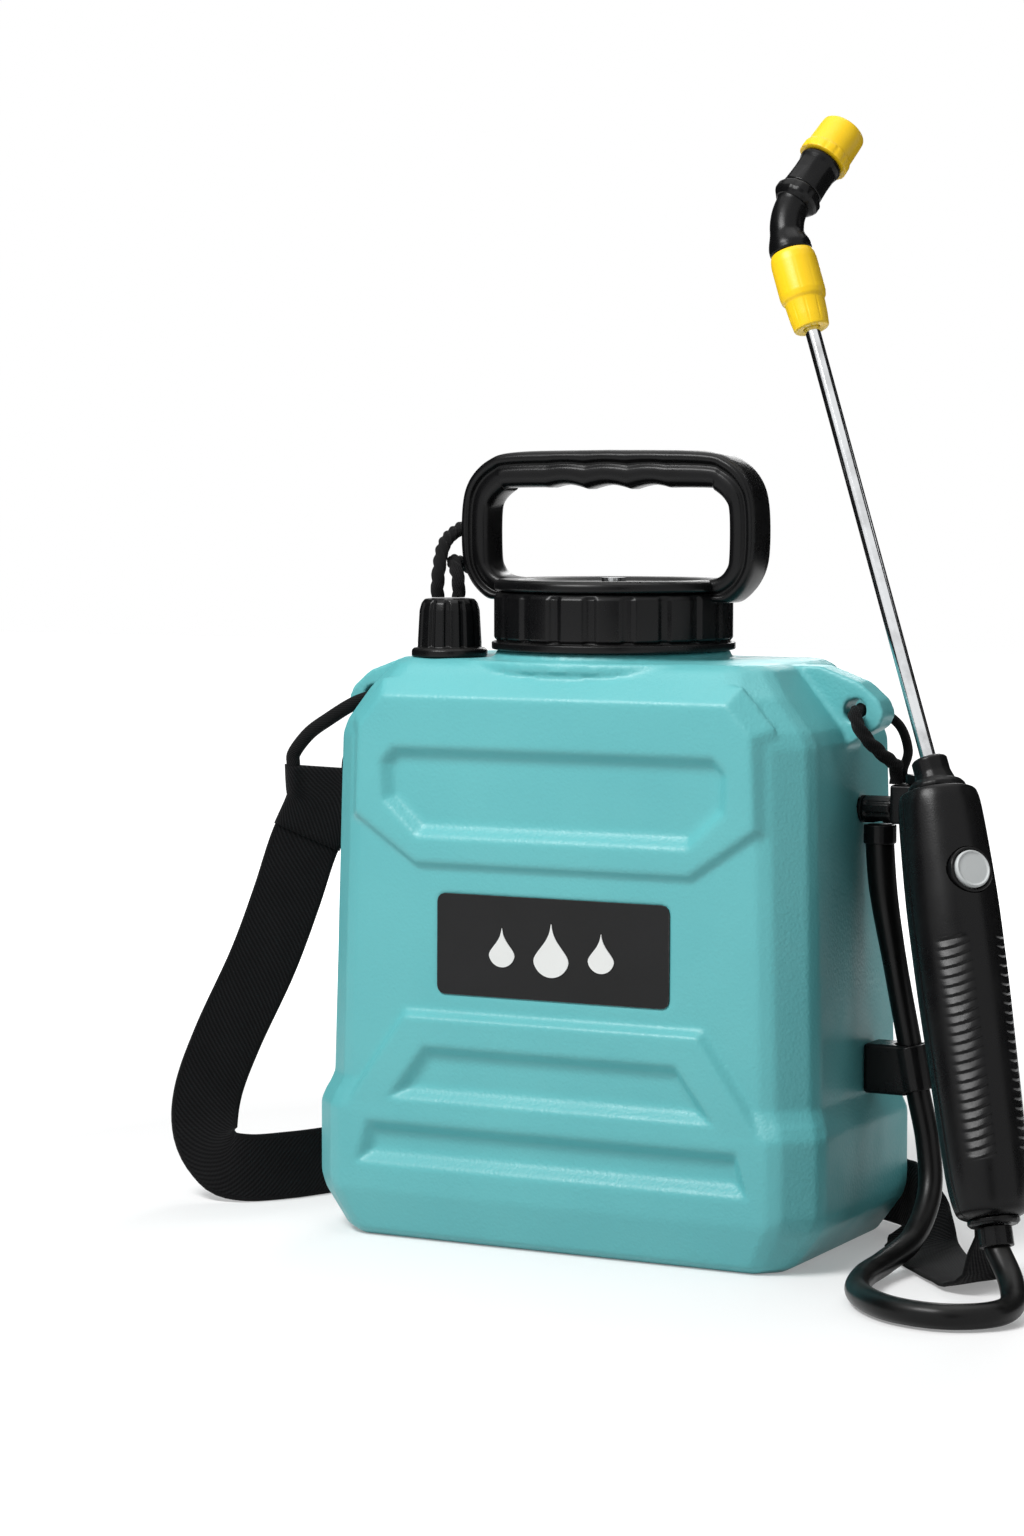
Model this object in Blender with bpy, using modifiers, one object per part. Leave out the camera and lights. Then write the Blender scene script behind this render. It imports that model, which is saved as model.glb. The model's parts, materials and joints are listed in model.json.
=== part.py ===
"""A garden pump sprayer: teal tank, plunger pump in a screw collar, relief cap,
shoulder strap, hose and a hanging spray wand with a push button valve.

Metres, +Z up. The origin is the middle of the tank's flat underside, the front
faces -Y and the wand hangs on the +X side.
"""

import math

import bmesh
import bpy
from mathutils import Matrix, Vector

# Clearances
GAP = 0.0003
RUNNING_GAP = 0.0004
CORD_GAP = 0.0004

# Tank: widths run along X, depths along Y, all outside sizes
FOOT_WIDTH = 0.236
FOOT_DEPTH = 0.134
FOOT_HEIGHT = 0.024
SKIRT_WIDTH = 0.272
SKIRT_DEPTH = 0.1445
SKIRT_HEIGHT = 0.0680
STEP_HEIGHT = 0.006
BODY_WIDTH = 0.262
BODY_DEPTH = 0.135
SHOULDER_WIDTH = 0.253
SHOULDER_DEPTH = 0.131
SHOULDER_HEIGHT = 0.250
BROW_RISE = 0.019
DECK_WIDTH = 0.198
DECK_DEPTH = 0.102
DECK_HEIGHT = 0.284
CORNER_CUT = 0.018
FOOT_CORNER_CUT = 0.012
DECK_CORNER_CUT = 0.012
EDGE_ROUND = 0.004
TANK_WALL = 0.0030

# Raised panels and pressed recesses of the tank, as half outlines (x, z)
PANEL_RISE = 0.0035
PANEL_SLOPE = 0.009
RECESS_SLOPE = 0.0065
UPPER_PANEL = ((0.0915, 0.2665), (0.1040, 0.2520), (0.1055, 0.2090), (0.0725, 0.1865))
UPPER_RECESS = ((0.0850, 0.2405), (0.0910, 0.2340), (0.0900, 0.2165), (0.0720, 0.2000))
LOWER_PANEL = ((0.0780, 0.1105), (0.1120, 0.0625), (0.1120, 0.0500))
LOWER_RECESS = ((0.0670, 0.0955), (0.0850, 0.0715))
SLOT_RECESS = ((0.0980, 0.0565), (0.1030, 0.0390))

# Label plate
LABEL_WIDTH = 0.124
LABEL_HEIGHT = 0.049
LABEL_THICK = 0.0012
LABEL_ROUND = 0.004
LABEL_CENTRE_Z = 0.147

# Strap ears on the shoulders
EAR_THICK = 0.016
EAR_REACH = 0.019
EAR_HOLE_RADIUS = 0.0058
EAR_HOLE_OUT = 0.004
EAR_HOLE_UP = 0.012

# Wide neck with its collar
NECK_RADIUS = 0.0525
NECK_WALL = 0.0045
NECK_HEIGHT = 0.0240
NECK_BOSS_RADIUS = 0.0575
NECK_BOSS_HEIGHT = 0.0040
COLLAR_RADIUS = 0.0585
COLLAR_FLANGE_RADIUS = 0.0597
COLLAR_FLANGE_HEIGHT = 0.0035
COLLAR_LIP_WIDTH = 0.0120
COLLAR_LIP_THICK = 0.0026
COLLAR_RIBS = 20
COLLAR_RIB_DEPTH = 0.0014
COLLAR_EDGE = 0.0012

# Plunger pump
GASKET_THICK = 0.0020
BARREL_FLANGE_THICK = 0.0030
BARREL_RADIUS = 0.0210
BARREL_WALL = 0.0025
BARREL_LENGTH = 0.196
BARREL_FLOOR = 0.0040
VALVE_STEM_RADIUS = 0.0028
VALVE_DISC_RADIUS = 0.0120
VALVE_DISC_THICK = 0.0024
VALVE_KNOB_RADIUS = 0.0042
VALVE_KNOB_HEIGHT = 0.0050
GUIDE_DEPTH = 0.012
ROD_RADIUS = 0.0050
ROD_SPIGOT_RADIUS = 0.0034
PISTON_HEIGHT = 0.0120
PISTON_CLEAR = 0.0090
CUP_HEIGHT = 0.0060
CUP_DEPTH = 0.0035

# Pump handle: a D loop on a round base
HANDLE_WIDTH = 0.1590
HANDLE_DEPTH = 0.0220
HANDLE_HEIGHT = 0.0680
HANDLE_POST = 0.0150
HANDLE_BAR = 0.0180
HANDLE_CORNER = 0.0260
HANDLE_ARM_DROP = 0.0052
HANDLE_EDGE = 0.0018
BASE_THICK = 0.0056
BASE_DISH_RADIUS = 0.0460
BASE_DISH_DEPTH = 0.0020
SCALLOPS = 4
SCALLOP_DEPTH = 0.0022
SCALLOP_MARGIN = 0.00175
SCALLOP_SPAN = HANDLE_WIDTH - 2 * HANDLE_POST - HANDLE_CORNER - 2 * SCALLOP_MARGIN
HANDLE_SCREW_RADIUS = 0.0060
HANDLE_SCREW_HEAD = 0.0024
HANDLE_SCREW_SHANK = 0.0020

# Relief cap with its pull loop
RELIEF_X = -0.0750
RELIEF_Y = -0.0300
RELIEF_NECK_RADIUS = 0.0105
RELIEF_NECK_WALL = 0.0030
RELIEF_NECK_HEIGHT = 0.0155
RELIEF_RADIUS = 0.0150
RELIEF_TOP_RADIUS = 0.0140
RELIEF_FLANGE_RADIUS = 0.0187
RELIEF_FLANGE_HEIGHT = 0.0042
RELIEF_HEIGHT = 0.0285
RELIEF_RIBS = 12
RELIEF_RIB_DEPTH = 0.0013
RELIEF_GASKET_THICK = 0.0020
LOOP_RADIUS = 0.0030
LOOP_RIB = 0.0005
LOOP_RIB_PITCH = 0.0054

# Outlet on the right wall
OUTLET_Y = 0.0100
OUTLET_Z = 0.2140
OUTLET_BARREL_RADIUS = 0.0066
OUTLET_BARREL_LENGTH = 0.0145
OUTLET_RIBS = 7
OUTLET_RIB_DEPTH = 0.0006
OUTLET_STEM_RADIUS = 0.0048
OUTLET_STEM_INSIDE = 0.0120
OUTLET_SPIGOT_RADIUS = 0.0036
OUTLET_SPIGOT_LENGTH = 0.0050
WASHER_RADIUS = 0.0066
WASHER_THICK = 0.0014
LOCKNUT_RADIUS = 0.0085
LOCKNUT_THICK = 0.0045
PICKUP_RADIUS = 0.0040
PICKUP_BEND = 0.0200
STRAINER_RADIUS = 0.0095
STRAINER_HEIGHT = 0.0260
STRAINER_LIFT = 0.0040
STRAINER_SLOTS = 2
STRAINER_SLOT_WIDTH = 0.0016

# Block on the outlet that the wand hangs in
BRACKET_LENGTH = 0.0130
BRACKET_DEPTH = 0.0150
BRACKET_UP = 0.0125
BRACKET_DOWN = 0.0062
POCKET_LENGTH = 0.0042
POCKET_DEPTH = 0.0100
POCKET_WIDTH = 0.0092
POCKET_WALL = 0.0016

# Hose, its sleeves and clip
HOSE_RADIUS = 0.0058
FERRULE_WALL = 0.0018
FERRULE_LENGTH = 0.0090
CLIP_HEIGHT = 0.0240
CLIP_DEPTH = 0.0180
CLIP_WRAP = 0.0026
CLIP_CLEAR = 0.0011

# Strap and cords
STRAP_WIDTH = 0.035
STRAP_THICK = 0.0022
STRAP_CORD_RADIUS = 0.0035
EAR_CORD_RADIUS = 0.0034
HOOK_CORD_RADIUS = 0.0023
STRAP_SCREW_RADIUS = 0.0045
STRAP_SCREW_HEAD = 0.0016
STRAP_SCREW_SHANK = 0.0018

# Wand: the nose point is where the grip's axis meets the tube's axis
NOSE_POINT = Vector((0.1772, -0.0200, 0.2262))
GRIP_AXIS = Vector((-0.26, 0.28, 1.0)).normalized()
TUBE_AXIS = Vector((-0.381, 0.196, 1.0)).normalized()
NOZZLE_AXIS = Vector((0.383, 0.802, 1.0)).normalized()
BUTTON_FACING = Vector((0.772, -0.635, 0.0))
GRIP_LENGTH = 0.2000
GRIP_WALL = 0.0024
GRIP_NECK_RADIUS = 0.0150
GRIP_BELLY_RADIUS = 0.0213
GRIP_TAIL_RADIUS = 0.0195
GRIP_END_RADIUS = 0.0120
NOSE_FLANGE_RADIUS = 0.0135
NOSE_FLANGE_THICK = 0.0045
NOSE_RADIUS = 0.0085
NOSE_LENGTH = 0.0165
NOSE_SOCKET = 0.0100
NOSE_PLUG_LENGTH = 0.0060
HOOK_THICK = 0.0032
HOOK_ARM_THICK = 0.0048
HOOK_ARM_WIDTH = 0.0070

# Button and valve inside the grip
BUTTON_DROP = 0.0430
BUTTON_RADIUS = 0.0088
BUTTON_PROUD = 0.0022
BUTTON_THICK = 0.0075
BUTTON_RING_WALL = 0.0016
BUTTON_RING_PROUD = 0.0006
VALVE_RADIUS = 0.0080
VALVE_LENGTH = 0.0340
VALVE_PIN_RADIUS = 0.0026
VALVE_PIN_DEPTH = 0.0060
SPRING_RADIUS = 0.0050
SPRING_WIRE = 0.0005
SPRING_TURNS = 3
SEAL_WIRE = 0.0009
PIPE_RADIUS = 0.0038
BARB_LENGTH = 0.0160
BARB_RADIUS = 0.0078
BARB_FLANGE_THICK = 0.0030
SCREW_RADIUS = 0.0026
SCREW_HEAD = 0.0020
SCREW_SHANK = 0.0013
LOWER_SCREW_RISE = 0.0190
UPPER_SCREW_DROP = 0.44 * GRIP_LENGTH
LOWER_SCREW_DROP = GRIP_LENGTH - BARB_LENGTH - LOWER_SCREW_RISE

# Tube, nut and nozzle
TUBE_RADIUS = 0.0037
TUBE_LENGTH = 0.2690
NUT_LENGTH = 0.0400
NUT_LOW_RADIUS = 0.0098
NUT_LOW_LENGTH = 0.0145
NUT_RADIUS = 0.0113
NUT_TOP_RADIUS = 0.0101
ELBOW_RADIUS = 0.0083
ELBOW_FLANGE_RADIUS = 0.0104
ELBOW_REACH = 0.0180
ELBOW_END_RADIUS = 0.0117
NOZZLE_RADIUS = 0.0108
NOZZLE_LENGTH = 0.0200
SPIGOT_RADIUS = 0.0070
SPIGOT_LENGTH = 0.0125
CAP_LENGTH = 0.0212
CAP_LIP_RADIUS = 0.0128
CAP_LIP_LENGTH = 0.0045
CAP_RADIUS = 0.0119
CAP_END_RADIUS = 0.0115
CAP_ROOF = 0.0030
CAP_HOLE_RADIUS = 0.0016
INSERT_RADIUS = 0.0050
INSERT_LENGTH = 0.0060

# Routes of the hose, the cords and the strap, chosen by hand
HOSE_ROUTE = (
    (0.1388, 0.0106, 0.1720), (0.1452, 0.0118, 0.1350), (0.1515, 0.0125, 0.1030),
    (0.1560, 0.0125, 0.0800), (0.1620, 0.0105, 0.0560), (0.1665, 0.0020, 0.0330),
    (0.1660, -0.0180, 0.0150), (0.1622, -0.0440, 0.0080), (0.1630, -0.0720, 0.0065),
    (0.1735, -0.1030, 0.0064), (0.1960, -0.1255, 0.0064), (0.2220, -0.1310, 0.0064),
    (0.2410, -0.1190, 0.0064), (0.2452, -0.1010, 0.0076), (0.2395, -0.0865, 0.0150),
)
CAP_LOOP_ROUTE = (
    (-0.0814, -0.0292, 0.3270), (-0.0838, -0.0218, 0.3355), (-0.0862, -0.0115, 0.3415),
    (-0.0876, 0.0015, 0.3455), (-0.0876, 0.0130, 0.3482), (-0.0866, 0.0225, 0.3482),
    (-0.0852, 0.0295, 0.3432), (-0.0843, 0.0310, 0.3352), (-0.0840, 0.0268, 0.3278),
    (-0.0839, 0.0188, 0.3250), (-0.0840, 0.0100, 0.3265), (-0.0842, 0.0005, 0.3290),
    (-0.0836, -0.0090, 0.3305), (-0.0790, -0.0180, 0.3292), (-0.0742, -0.0240, 0.3250),
)
STRAP_LOOP_ROUTE = (
    (-0.1690, -0.0220, 0.2330), (-0.1610, -0.0205, 0.2430), (-0.1490, -0.0200, 0.2510),
    (-0.1380, -0.0170, 0.2580), (-0.1312, -0.0090, 0.2616), (-0.1305, 0.0000, 0.2620),
    (-0.1312, 0.0090, 0.2616), (-0.1370, 0.0160, 0.2565), (-0.1425, 0.0140, 0.2480),
    (-0.1447, 0.0030, 0.2400), (-0.1447, -0.0065, 0.2320),
)
EAR_CORD_ROUTE = (
    (0.1305, 0.0010, 0.2620), (0.1325, -0.0125, 0.2600), (0.1380, -0.0145, 0.2510),
    (0.1435, -0.0060, 0.2420), (0.1466, 0.0045, 0.2360),
)
HOOK_CORD_ROUTE = (
    (0.1305, 0.0070, 0.2620), (0.1350, 0.0165, 0.2600), (0.1430, 0.0195, 0.2530),
    (0.1475, 0.0180, 0.2420), (0.1466, 0.0146, 0.2340),
)
# Each strap station is its centre and the way its width points
LEFT_STRAP_ROUTE = (
    ((-0.1570, -0.0160, 0.2190), (0.886, 0.463, 0.0)), ((-0.1570, -0.0160, 0.2070), (0.886, 0.463, 0.0)),
    ((-0.1660, -0.0190, 0.1850), (0.886, 0.463, 0.0)), ((-0.1750, -0.0210, 0.1580), (0.886, 0.463, 0.0)),
    ((-0.1880, -0.0230, 0.1250), (0.886, 0.463, 0.02)), ((-0.2080, -0.0250, 0.0850), (0.886, 0.443, 0.10)),
    ((-0.2200, -0.0250, 0.0560), (0.85, 0.40, 0.30)), ((-0.2210, -0.0260, 0.0340), (0.60, 0.25, 0.75)),
    ((-0.2110, -0.0280, 0.0215), (0.25, 0.08, 0.96)), ((-0.1970, -0.0240, 0.0182), (0.05, 0.0, 1.0)),
    ((-0.1820, -0.0060, 0.0180), (0.0, 0.0, 1.0)), ((-0.1720, 0.0150, 0.0180), (0.0, 0.0, 1.0)),
)
REAR_STRAP_ROUTE = (
    ((-0.1718, 0.0154, 0.0180), (0.0, 0.0, 1.0)), ((-0.1540, 0.0560, 0.0180), (0.0, 0.0, 1.0)),
    ((-0.1150, 0.0870, 0.0180), (0.0, 0.0, 1.0)), ((-0.0500, 0.0930, 0.0180), (0.0, 0.0, 1.0)),
    ((0.0200, 0.0930, 0.0180), (0.0, 0.0, 1.0)), ((0.0900, 0.0915, 0.0180), (0.0, 0.0, 1.0)),
    ((0.1180, 0.0790, 0.0180), (0.0, 0.0, 1.0)), ((0.1300, 0.0670, 0.0180), (0.0, 0.0, 1.0)),
)
RIGHT_STRAP_ROUTE = (
    ((0.1305, 0.0664, 0.0180), (0.0, 0.0, 1.0)), ((0.1390, 0.0548, 0.0180), (0.08, 0.05, 1.0)),
    ((0.1480, 0.0360, 0.0105), (0.70, 0.42, 0.55)), ((0.1580, 0.0150, 0.0040), (0.77, 0.60, 0.12)),
    ((0.1720, -0.0050, 0.0026), (0.74, 0.67, 0.02)), ((0.1870, -0.0225, 0.0024), (0.74, 0.67, 0.0)),
    ((0.1985, -0.0350, 0.0027), (0.72, 0.69, 0.0)), ((0.2075, -0.0445, 0.0044), (0.60, 0.80, 0.04)),
    ((0.2130, -0.0475, 0.0110), (0.25, 0.96, 0.06)), ((0.2120, -0.0435, 0.0230), (-0.15, 0.98, 0.04)),
    ((0.2032, -0.0315, 0.0480), (-0.463, 0.886, 0.0)), ((0.1962, -0.0246, 0.0800), (-0.463, 0.886, 0.0)),
    ((0.1841, -0.0111, 0.1250), (-0.463, 0.886, 0.0)), ((0.1719, 0.0020, 0.1720), (-0.40, 0.91, 0.0)),
    ((0.1636, 0.0092, 0.1890), (-0.05, 1.0, 0.0)),
)

# Heights that follow from the sizes above
STEP_TOP = SKIRT_HEIGHT + STEP_HEIGHT
CLIP_Z = STEP_TOP + EDGE_ROUND + CLIP_HEIGHT / 2
NECK_TOP = DECK_HEIGHT + NECK_HEIGHT
NECK_BORE = NECK_RADIUS - NECK_WALL
COLLAR_BOTTOM = DECK_HEIGHT + NECK_BOSS_HEIGHT + GAP
FLANGE_BOTTOM = NECK_TOP + GASKET_THICK + 2 * GAP
FLANGE_TOP = FLANGE_BOTTOM + BARREL_FLANGE_THICK
COLLAR_TOP = FLANGE_TOP + GAP + COLLAR_LIP_THICK
BASE_BOTTOM = COLLAR_TOP + GAP
BASE_TOP = BASE_BOTTOM + BASE_THICK
HANDLE_TOP = BASE_BOTTOM + HANDLE_HEIGHT
BARREL_BORE = BARREL_RADIUS - BARREL_WALL
BARREL_BOTTOM = FLANGE_TOP - BARREL_LENGTH
PISTON_BOTTOM = BARREL_BOTTOM + BARREL_FLOOR + PISTON_CLEAR
PISTON_TOP = PISTON_BOTTOM + PISTON_HEIGHT
RELIEF_BOTTOM = DECK_HEIGHT + GAP
RELIEF_ROOF = DECK_HEIGHT + RELIEF_NECK_HEIGHT + RELIEF_GASKET_THICK + 2 * GAP
RELIEF_TOP = RELIEF_BOTTOM + RELIEF_HEIGHT
BUTTON_RING_RADIUS = BUTTON_RADIUS + RUNNING_GAP + BUTTON_RING_WALL
GRIP_BOTTOM = NOSE_POINT - GRIP_AXIS * (GRIP_LENGTH + GAP)
TUBE_START = NOSE_LENGTH - NOSE_SOCKET
NUT_TOP = TUBE_START + TUBE_LENGTH
ELBOW_START = NOSE_POINT + TUBE_AXIS * (NUT_TOP + GAP)
ELBOW_CORNER = ELBOW_START + TUBE_AXIS * ELBOW_REACH
NOZZLE_BASE = ELBOW_CORNER + NOZZLE_AXIS * (ELBOW_REACH + GAP)
CAP_BASE = NOZZLE_BASE + NOZZLE_AXIS * (NOZZLE_LENGTH + GAP)


def body_half(z):
    """Half width and half depth of the tank's main walls at height z."""
    share = (z - STEP_TOP) / (SHOULDER_HEIGHT - STEP_TOP)
    width = BODY_WIDTH + (SHOULDER_WIDTH - BODY_WIDTH) * share
    depth = BODY_DEPTH + (SHOULDER_DEPTH - BODY_DEPTH) * share
    return width / 2, depth / 2


OUTLET_WALL_X = body_half(OUTLET_Z)[0]
OUTLET_START_X = OUTLET_WALL_X + WASHER_THICK + 2 * GAP
OUTLET_END_X = OUTLET_START_X + OUTLET_BARREL_LENGTH
SPOUT_X = OUTLET_START_X + OUTLET_BARREL_LENGTH / 2
HOSE_TOP = Vector((SPOUT_X, OUTLET_Y, OUTLET_Z - OUTLET_BARREL_RADIUS - GAP))
BRACKET_START_X = OUTLET_END_X + GAP
BRACKET_END_X = BRACKET_START_X + BRACKET_LENGTH
BRACKET_TOP = OUTLET_Z + BRACKET_UP
POCKET_X = BRACKET_END_X - POCKET_WALL - POCKET_LENGTH / 2

for old in list(bpy.data.objects):
    bpy.data.objects.remove(old, do_unlink=True)

parts = bpy.data.collections.new("pump_sprayer")
cutters = bpy.data.collections.new("cutters")
bpy.context.scene.collection.children.link(parts)
bpy.context.scene.collection.children.link(cutters)


def material(name, colour, roughness, metallic=0.0):
    """A plain finish for one kind of piece."""
    made = bpy.data.materials.new(name)
    made.use_nodes = True
    shader = made.node_tree.nodes["Principled BSDF"]
    shader.inputs["Base Color"].default_value = (*colour, 1.0)
    shader.inputs["Roughness"].default_value = roughness
    shader.inputs["Metallic"].default_value = metallic
    made.diffuse_color = (*colour, 1.0)
    return made


TEAL = material("teal_polyethylene", (0.14, 0.48, 0.50), 0.36)
BLACK = material("black_plastic", (0.014, 0.014, 0.015), 0.38)
LABEL = material("label_charcoal", (0.020, 0.020, 0.021), 0.30)
RUBBER = material("black_rubber", (0.010, 0.010, 0.010), 0.62)
WEBBING = material("black_webbing", (0.008, 0.008, 0.009), 0.85)
CORD = material("black_cord", (0.012, 0.012, 0.013), 0.75)
YELLOW = material("yellow_plastic", (0.95, 0.60, 0.01), 0.38)
STEEL = material("polished_steel", (0.78, 0.78, 0.79), 0.14, 1.0)
GREY = material("grey_button", (0.50, 0.51, 0.52), 0.32)
NATURAL = material("natural_plastic", (0.62, 0.62, 0.58), 0.45)


def place(obj, finish, smooth_angle=30.0):
    """Files a part in its collection, with its finish and its shading."""
    parts.objects.link(obj)
    obj.data.materials.append(finish)
    if obj.type == "MESH":
        obj.data.shade_smooth()
        obj.data.set_sharp_from_angle(angle=math.radians(smooth_angle))
    return obj


def as_cutter(obj):
    """Files a helper shape, which shows as wire and isn't a part."""
    cutters.objects.link(obj)
    obj.hide_render = True
    obj.display_type = "WIRE"
    return obj


def mesh_object(name, bm):
    """An object from a bmesh, with its faces turned outwards."""
    bmesh.ops.recalc_face_normals(bm, faces=bm.faces)
    mesh = bpy.data.meshes.new(name)
    bm.to_mesh(mesh)
    bm.free()
    return bpy.data.objects.new(name, mesh)


def stack_into(bm, rings, closed=False):
    """Skins rings of equally many points, with end caps or joined last to first."""
    rows = [[bm.verts.new(point) for point in ring] for ring in rings]
    pairs = list(zip(rows, rows[1:]))
    if closed:
        pairs.append((rows[-1], rows[0]))
    else:
        bm.faces.new(rows[0])
        bm.faces.new(rows[-1])
    for low, high in pairs:
        for i in range(len(low)):
            j = (i + 1) % len(low)
            bm.faces.new((low[i], low[j], high[j], high[i]))


def stacked(name, rings, closed=False):
    bm = bmesh.new()
    stack_into(bm, rings, closed)
    return mesh_object(name, bm)


def turned(name, profile, steps, matrix=None, looped=False):
    """A profile of (radius, height) points, from top to bottom outside, spun round Z."""
    mesh = bpy.data.meshes.new(name)
    edges = [(i, i + 1) for i in range(len(profile) - 1)]
    if looped:
        edges.append((len(profile) - 1, 0))
    mesh.from_pydata([(r, 0.0, z) for r, z in profile], edges, [])
    obj = bpy.data.objects.new(name, mesh)
    screw = obj.modifiers.new("turn", "SCREW")
    screw.steps = steps
    screw.render_steps = steps
    screw.use_merge_vertices = True
    screw.merge_threshold = 0.00005
    if matrix:
        obj.matrix_world = matrix
    return obj


def ring_profile(inner, outer, low, high):
    return ((outer, high), (outer, low), (inner, low), (inner, high))


def disc_profile(radius, low, high):
    return ((0.0, high), (radius, high), (radius, low), (0.0, low))


def frame_at(origin, z_axis, x_hint):
    """A frame at origin whose Z runs along z_axis and whose X leans to x_hint."""
    z = Vector(z_axis).normalized()
    x = Vector(x_hint)
    x = (x - z * x.dot(z)).normalized()
    y = z.cross(x)
    turn = Matrix((x, y, z)).transposed().to_4x4()
    return Matrix.Translation(origin) @ turn


def round_cutter(name, radius, start, end, steps=24):
    """A round bar between two points."""
    start = Vector(start)
    axis = Vector(end) - start
    bm = bmesh.new()
    bmesh.ops.create_cone(
        bm, cap_ends=True, segments=steps, radius1=radius, radius2=radius, depth=axis.length
    )
    bmesh.ops.translate(bm, verts=bm.verts, vec=(0.0, 0.0, axis.length / 2))
    bar = mesh_object(name, bm)
    bar.matrix_world = frame_at(start, axis, (axis.y + 0.3, axis.z, axis.x))
    return as_cutter(bar)


def block(name, low, high):
    """A box between two corners."""
    low = Vector(low)
    high = Vector(high)
    bm = bmesh.new()
    bmesh.ops.create_cube(bm, size=1.0)
    bmesh.ops.scale(bm, verts=bm.verts, vec=high - low)
    bmesh.ops.translate(bm, verts=bm.verts, vec=(low + high) / 2)
    return mesh_object(name, bm)


def combine(obj, other, operation):
    step = obj.modifiers.new(operation.lower(), "BOOLEAN")
    step.operation = operation
    step.object = other
    step.solver = "EXACT"


def cut(obj, *others):
    for other in others:
        combine(obj, other, "DIFFERENCE")


def join(obj, *others):
    for other in others:
        combine(obj, other, "UNION")


def flat_outline(name, outline, half_thick, hole=None, edge=0.0):
    """A plate with this outline in its own XY plane, as a mesh."""
    curve = bpy.data.curves.new(name, "CURVE")
    curve.dimensions = "2D"
    curve.fill_mode = "BOTH"
    curve.extrude = half_thick - edge
    curve.bevel_depth = edge
    curve.bevel_resolution = 0
    curve.offset = -edge
    for points in filter(None, (outline, hole)):
        spline = curve.splines.new("POLY")
        spline.points.add(len(points) - 1)
        for slot, (x, y) in zip(spline.points, points):
            slot.co = (x, y, 0.0, 1.0)
        spline.use_cyclic_u = True
    guide = bpy.data.objects.new(name + "_outline", curve)
    cutters.objects.link(guide)
    bpy.context.view_layer.update()
    shape = guide.evaluated_get(bpy.context.evaluated_depsgraph_get())
    mesh = bpy.data.meshes.new_from_object(shape)
    bpy.data.objects.remove(guide)
    bm = bmesh.new()
    bm.from_mesh(mesh)
    bmesh.ops.remove_doubles(bm, verts=bm.verts, dist=0.00002)
    return mesh_object(name, bm)


UPRIGHT = Matrix.Rotation(math.pi / 2, 4, "X")


def arc(centre, radius, start, end, count):
    """Points on an arc, angles in degrees."""
    found = []
    for i in range(count):
        angle = math.radians(start + (end - start) * i / (count - 1))
        found.append((centre[0] + radius * math.cos(angle), centre[1] + radius * math.sin(angle)))
    return found


def through(points, spacing):
    """Even points on a smooth curve through the given ones."""
    points = [Vector(p) for p in points]
    ends = [2 * points[0] - points[1], *points, 2 * points[-1] - points[-2]]
    fine = []
    for a, b, c, d in zip(ends, ends[1:], ends[2:], ends[3:]):
        for i in range(24):
            t = i / 24
            near = (b * 2 + (c - a) * t + (a * 2 - b * 5 + c * 4 - d) * t * t)
            fine.append((near + (b * 3 - a - c * 3 + d) * t * t * t) / 2)
    fine.append(points[-1])
    lengths = [0.0]
    for a, b in zip(fine, fine[1:]):
        lengths.append(lengths[-1] + (b - a).length)
    count = max(2, round(lengths[-1] / spacing) + 1)
    even = []
    k = 0
    for i in range(count):
        want = lengths[-1] * i / (count - 1)
        while k < len(fine) - 2 and lengths[k + 1] < want:
            k += 1
        share = (want - lengths[k]) / (lengths[k + 1] - lengths[k])
        even.append(fine[k].lerp(fine[k + 1], share))
    return even


def tube(name, points, radius, resolution=2, radii=None):
    """A round tube along the points, with filled ends."""
    curve = bpy.data.curves.new(name, "CURVE")
    curve.dimensions = "3D"
    curve.bevel_depth = radius
    curve.bevel_resolution = resolution
    curve.use_fill_caps = True
    spline = curve.splines.new("POLY")
    spline.points.add(len(points) - 1)
    for i, (slot, point) in enumerate(zip(spline.points, points)):
        slot.co = (*point, 1.0)
        slot.radius = radii[i] / radius if radii else 1.0
    return bpy.data.objects.new(name, curve)


def mirrored(half):
    """A whole outline from its right half, given from top to bottom."""
    return [*half, *[(-x, z) for x, z in reversed(half)]]


def grown(outline, by):
    """A convex outline with every side moved outwards."""
    count = len(outline)
    area = sum(a[0] * b[1] - b[0] * a[1] for a, b in zip(outline, [*outline[1:], outline[0]]))
    turn = math.copysign(1.0, area)
    made = []
    for i in range(count):
        before = Vector(outline[i - 1])
        here = Vector(outline[i])
        after = Vector(outline[(i + 1) % count])
        first = (here - before).normalized()
        second = (after - here).normalized()
        out_a = Vector((first.y, -first.x)) * turn
        out_b = Vector((second.y, -second.x)) * turn
        made.append(here + (out_a + out_b) * (by / (1.0 + out_a.dot(out_b))))
    return made


def wedge_into(bm, outline, levels):
    """Front and back copies of a prism, as (distance from the middle, growth) levels."""
    for side in (-1.0, 1.0):
        rings = []
        for y, growth in levels:
            rings.append([(x, side * y, z) for x, z in grown(outline, growth)])
        stack_into(bm, rings)


def cut_corners(half_x, half_y, corner, z):
    """A rectangle with its corners cut off, at height z."""
    x = half_x - corner
    y = half_y - corner
    return [
        (half_x, -y, z), (half_x, y, z), (x, half_y, z), (-x, half_y, z),
        (-half_x, y, z), (-half_x, -y, z), (-x, -half_y, z), (x, -half_y, z),
    ]


def ribbed(radius, depth, ribs, z):
    """A ring of points with flat ribs, four points to each rib."""
    ring = []
    for i in range(ribs):
        for share, low in ((0.0, 0.0), (0.62, 0.0), (0.70, 1.0), (0.92, 1.0)):
            angle = math.tau * (i + share) / ribs
            r = radius - depth * low
            ring.append((r * math.cos(angle), r * math.sin(angle), z))
    return ring


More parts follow.
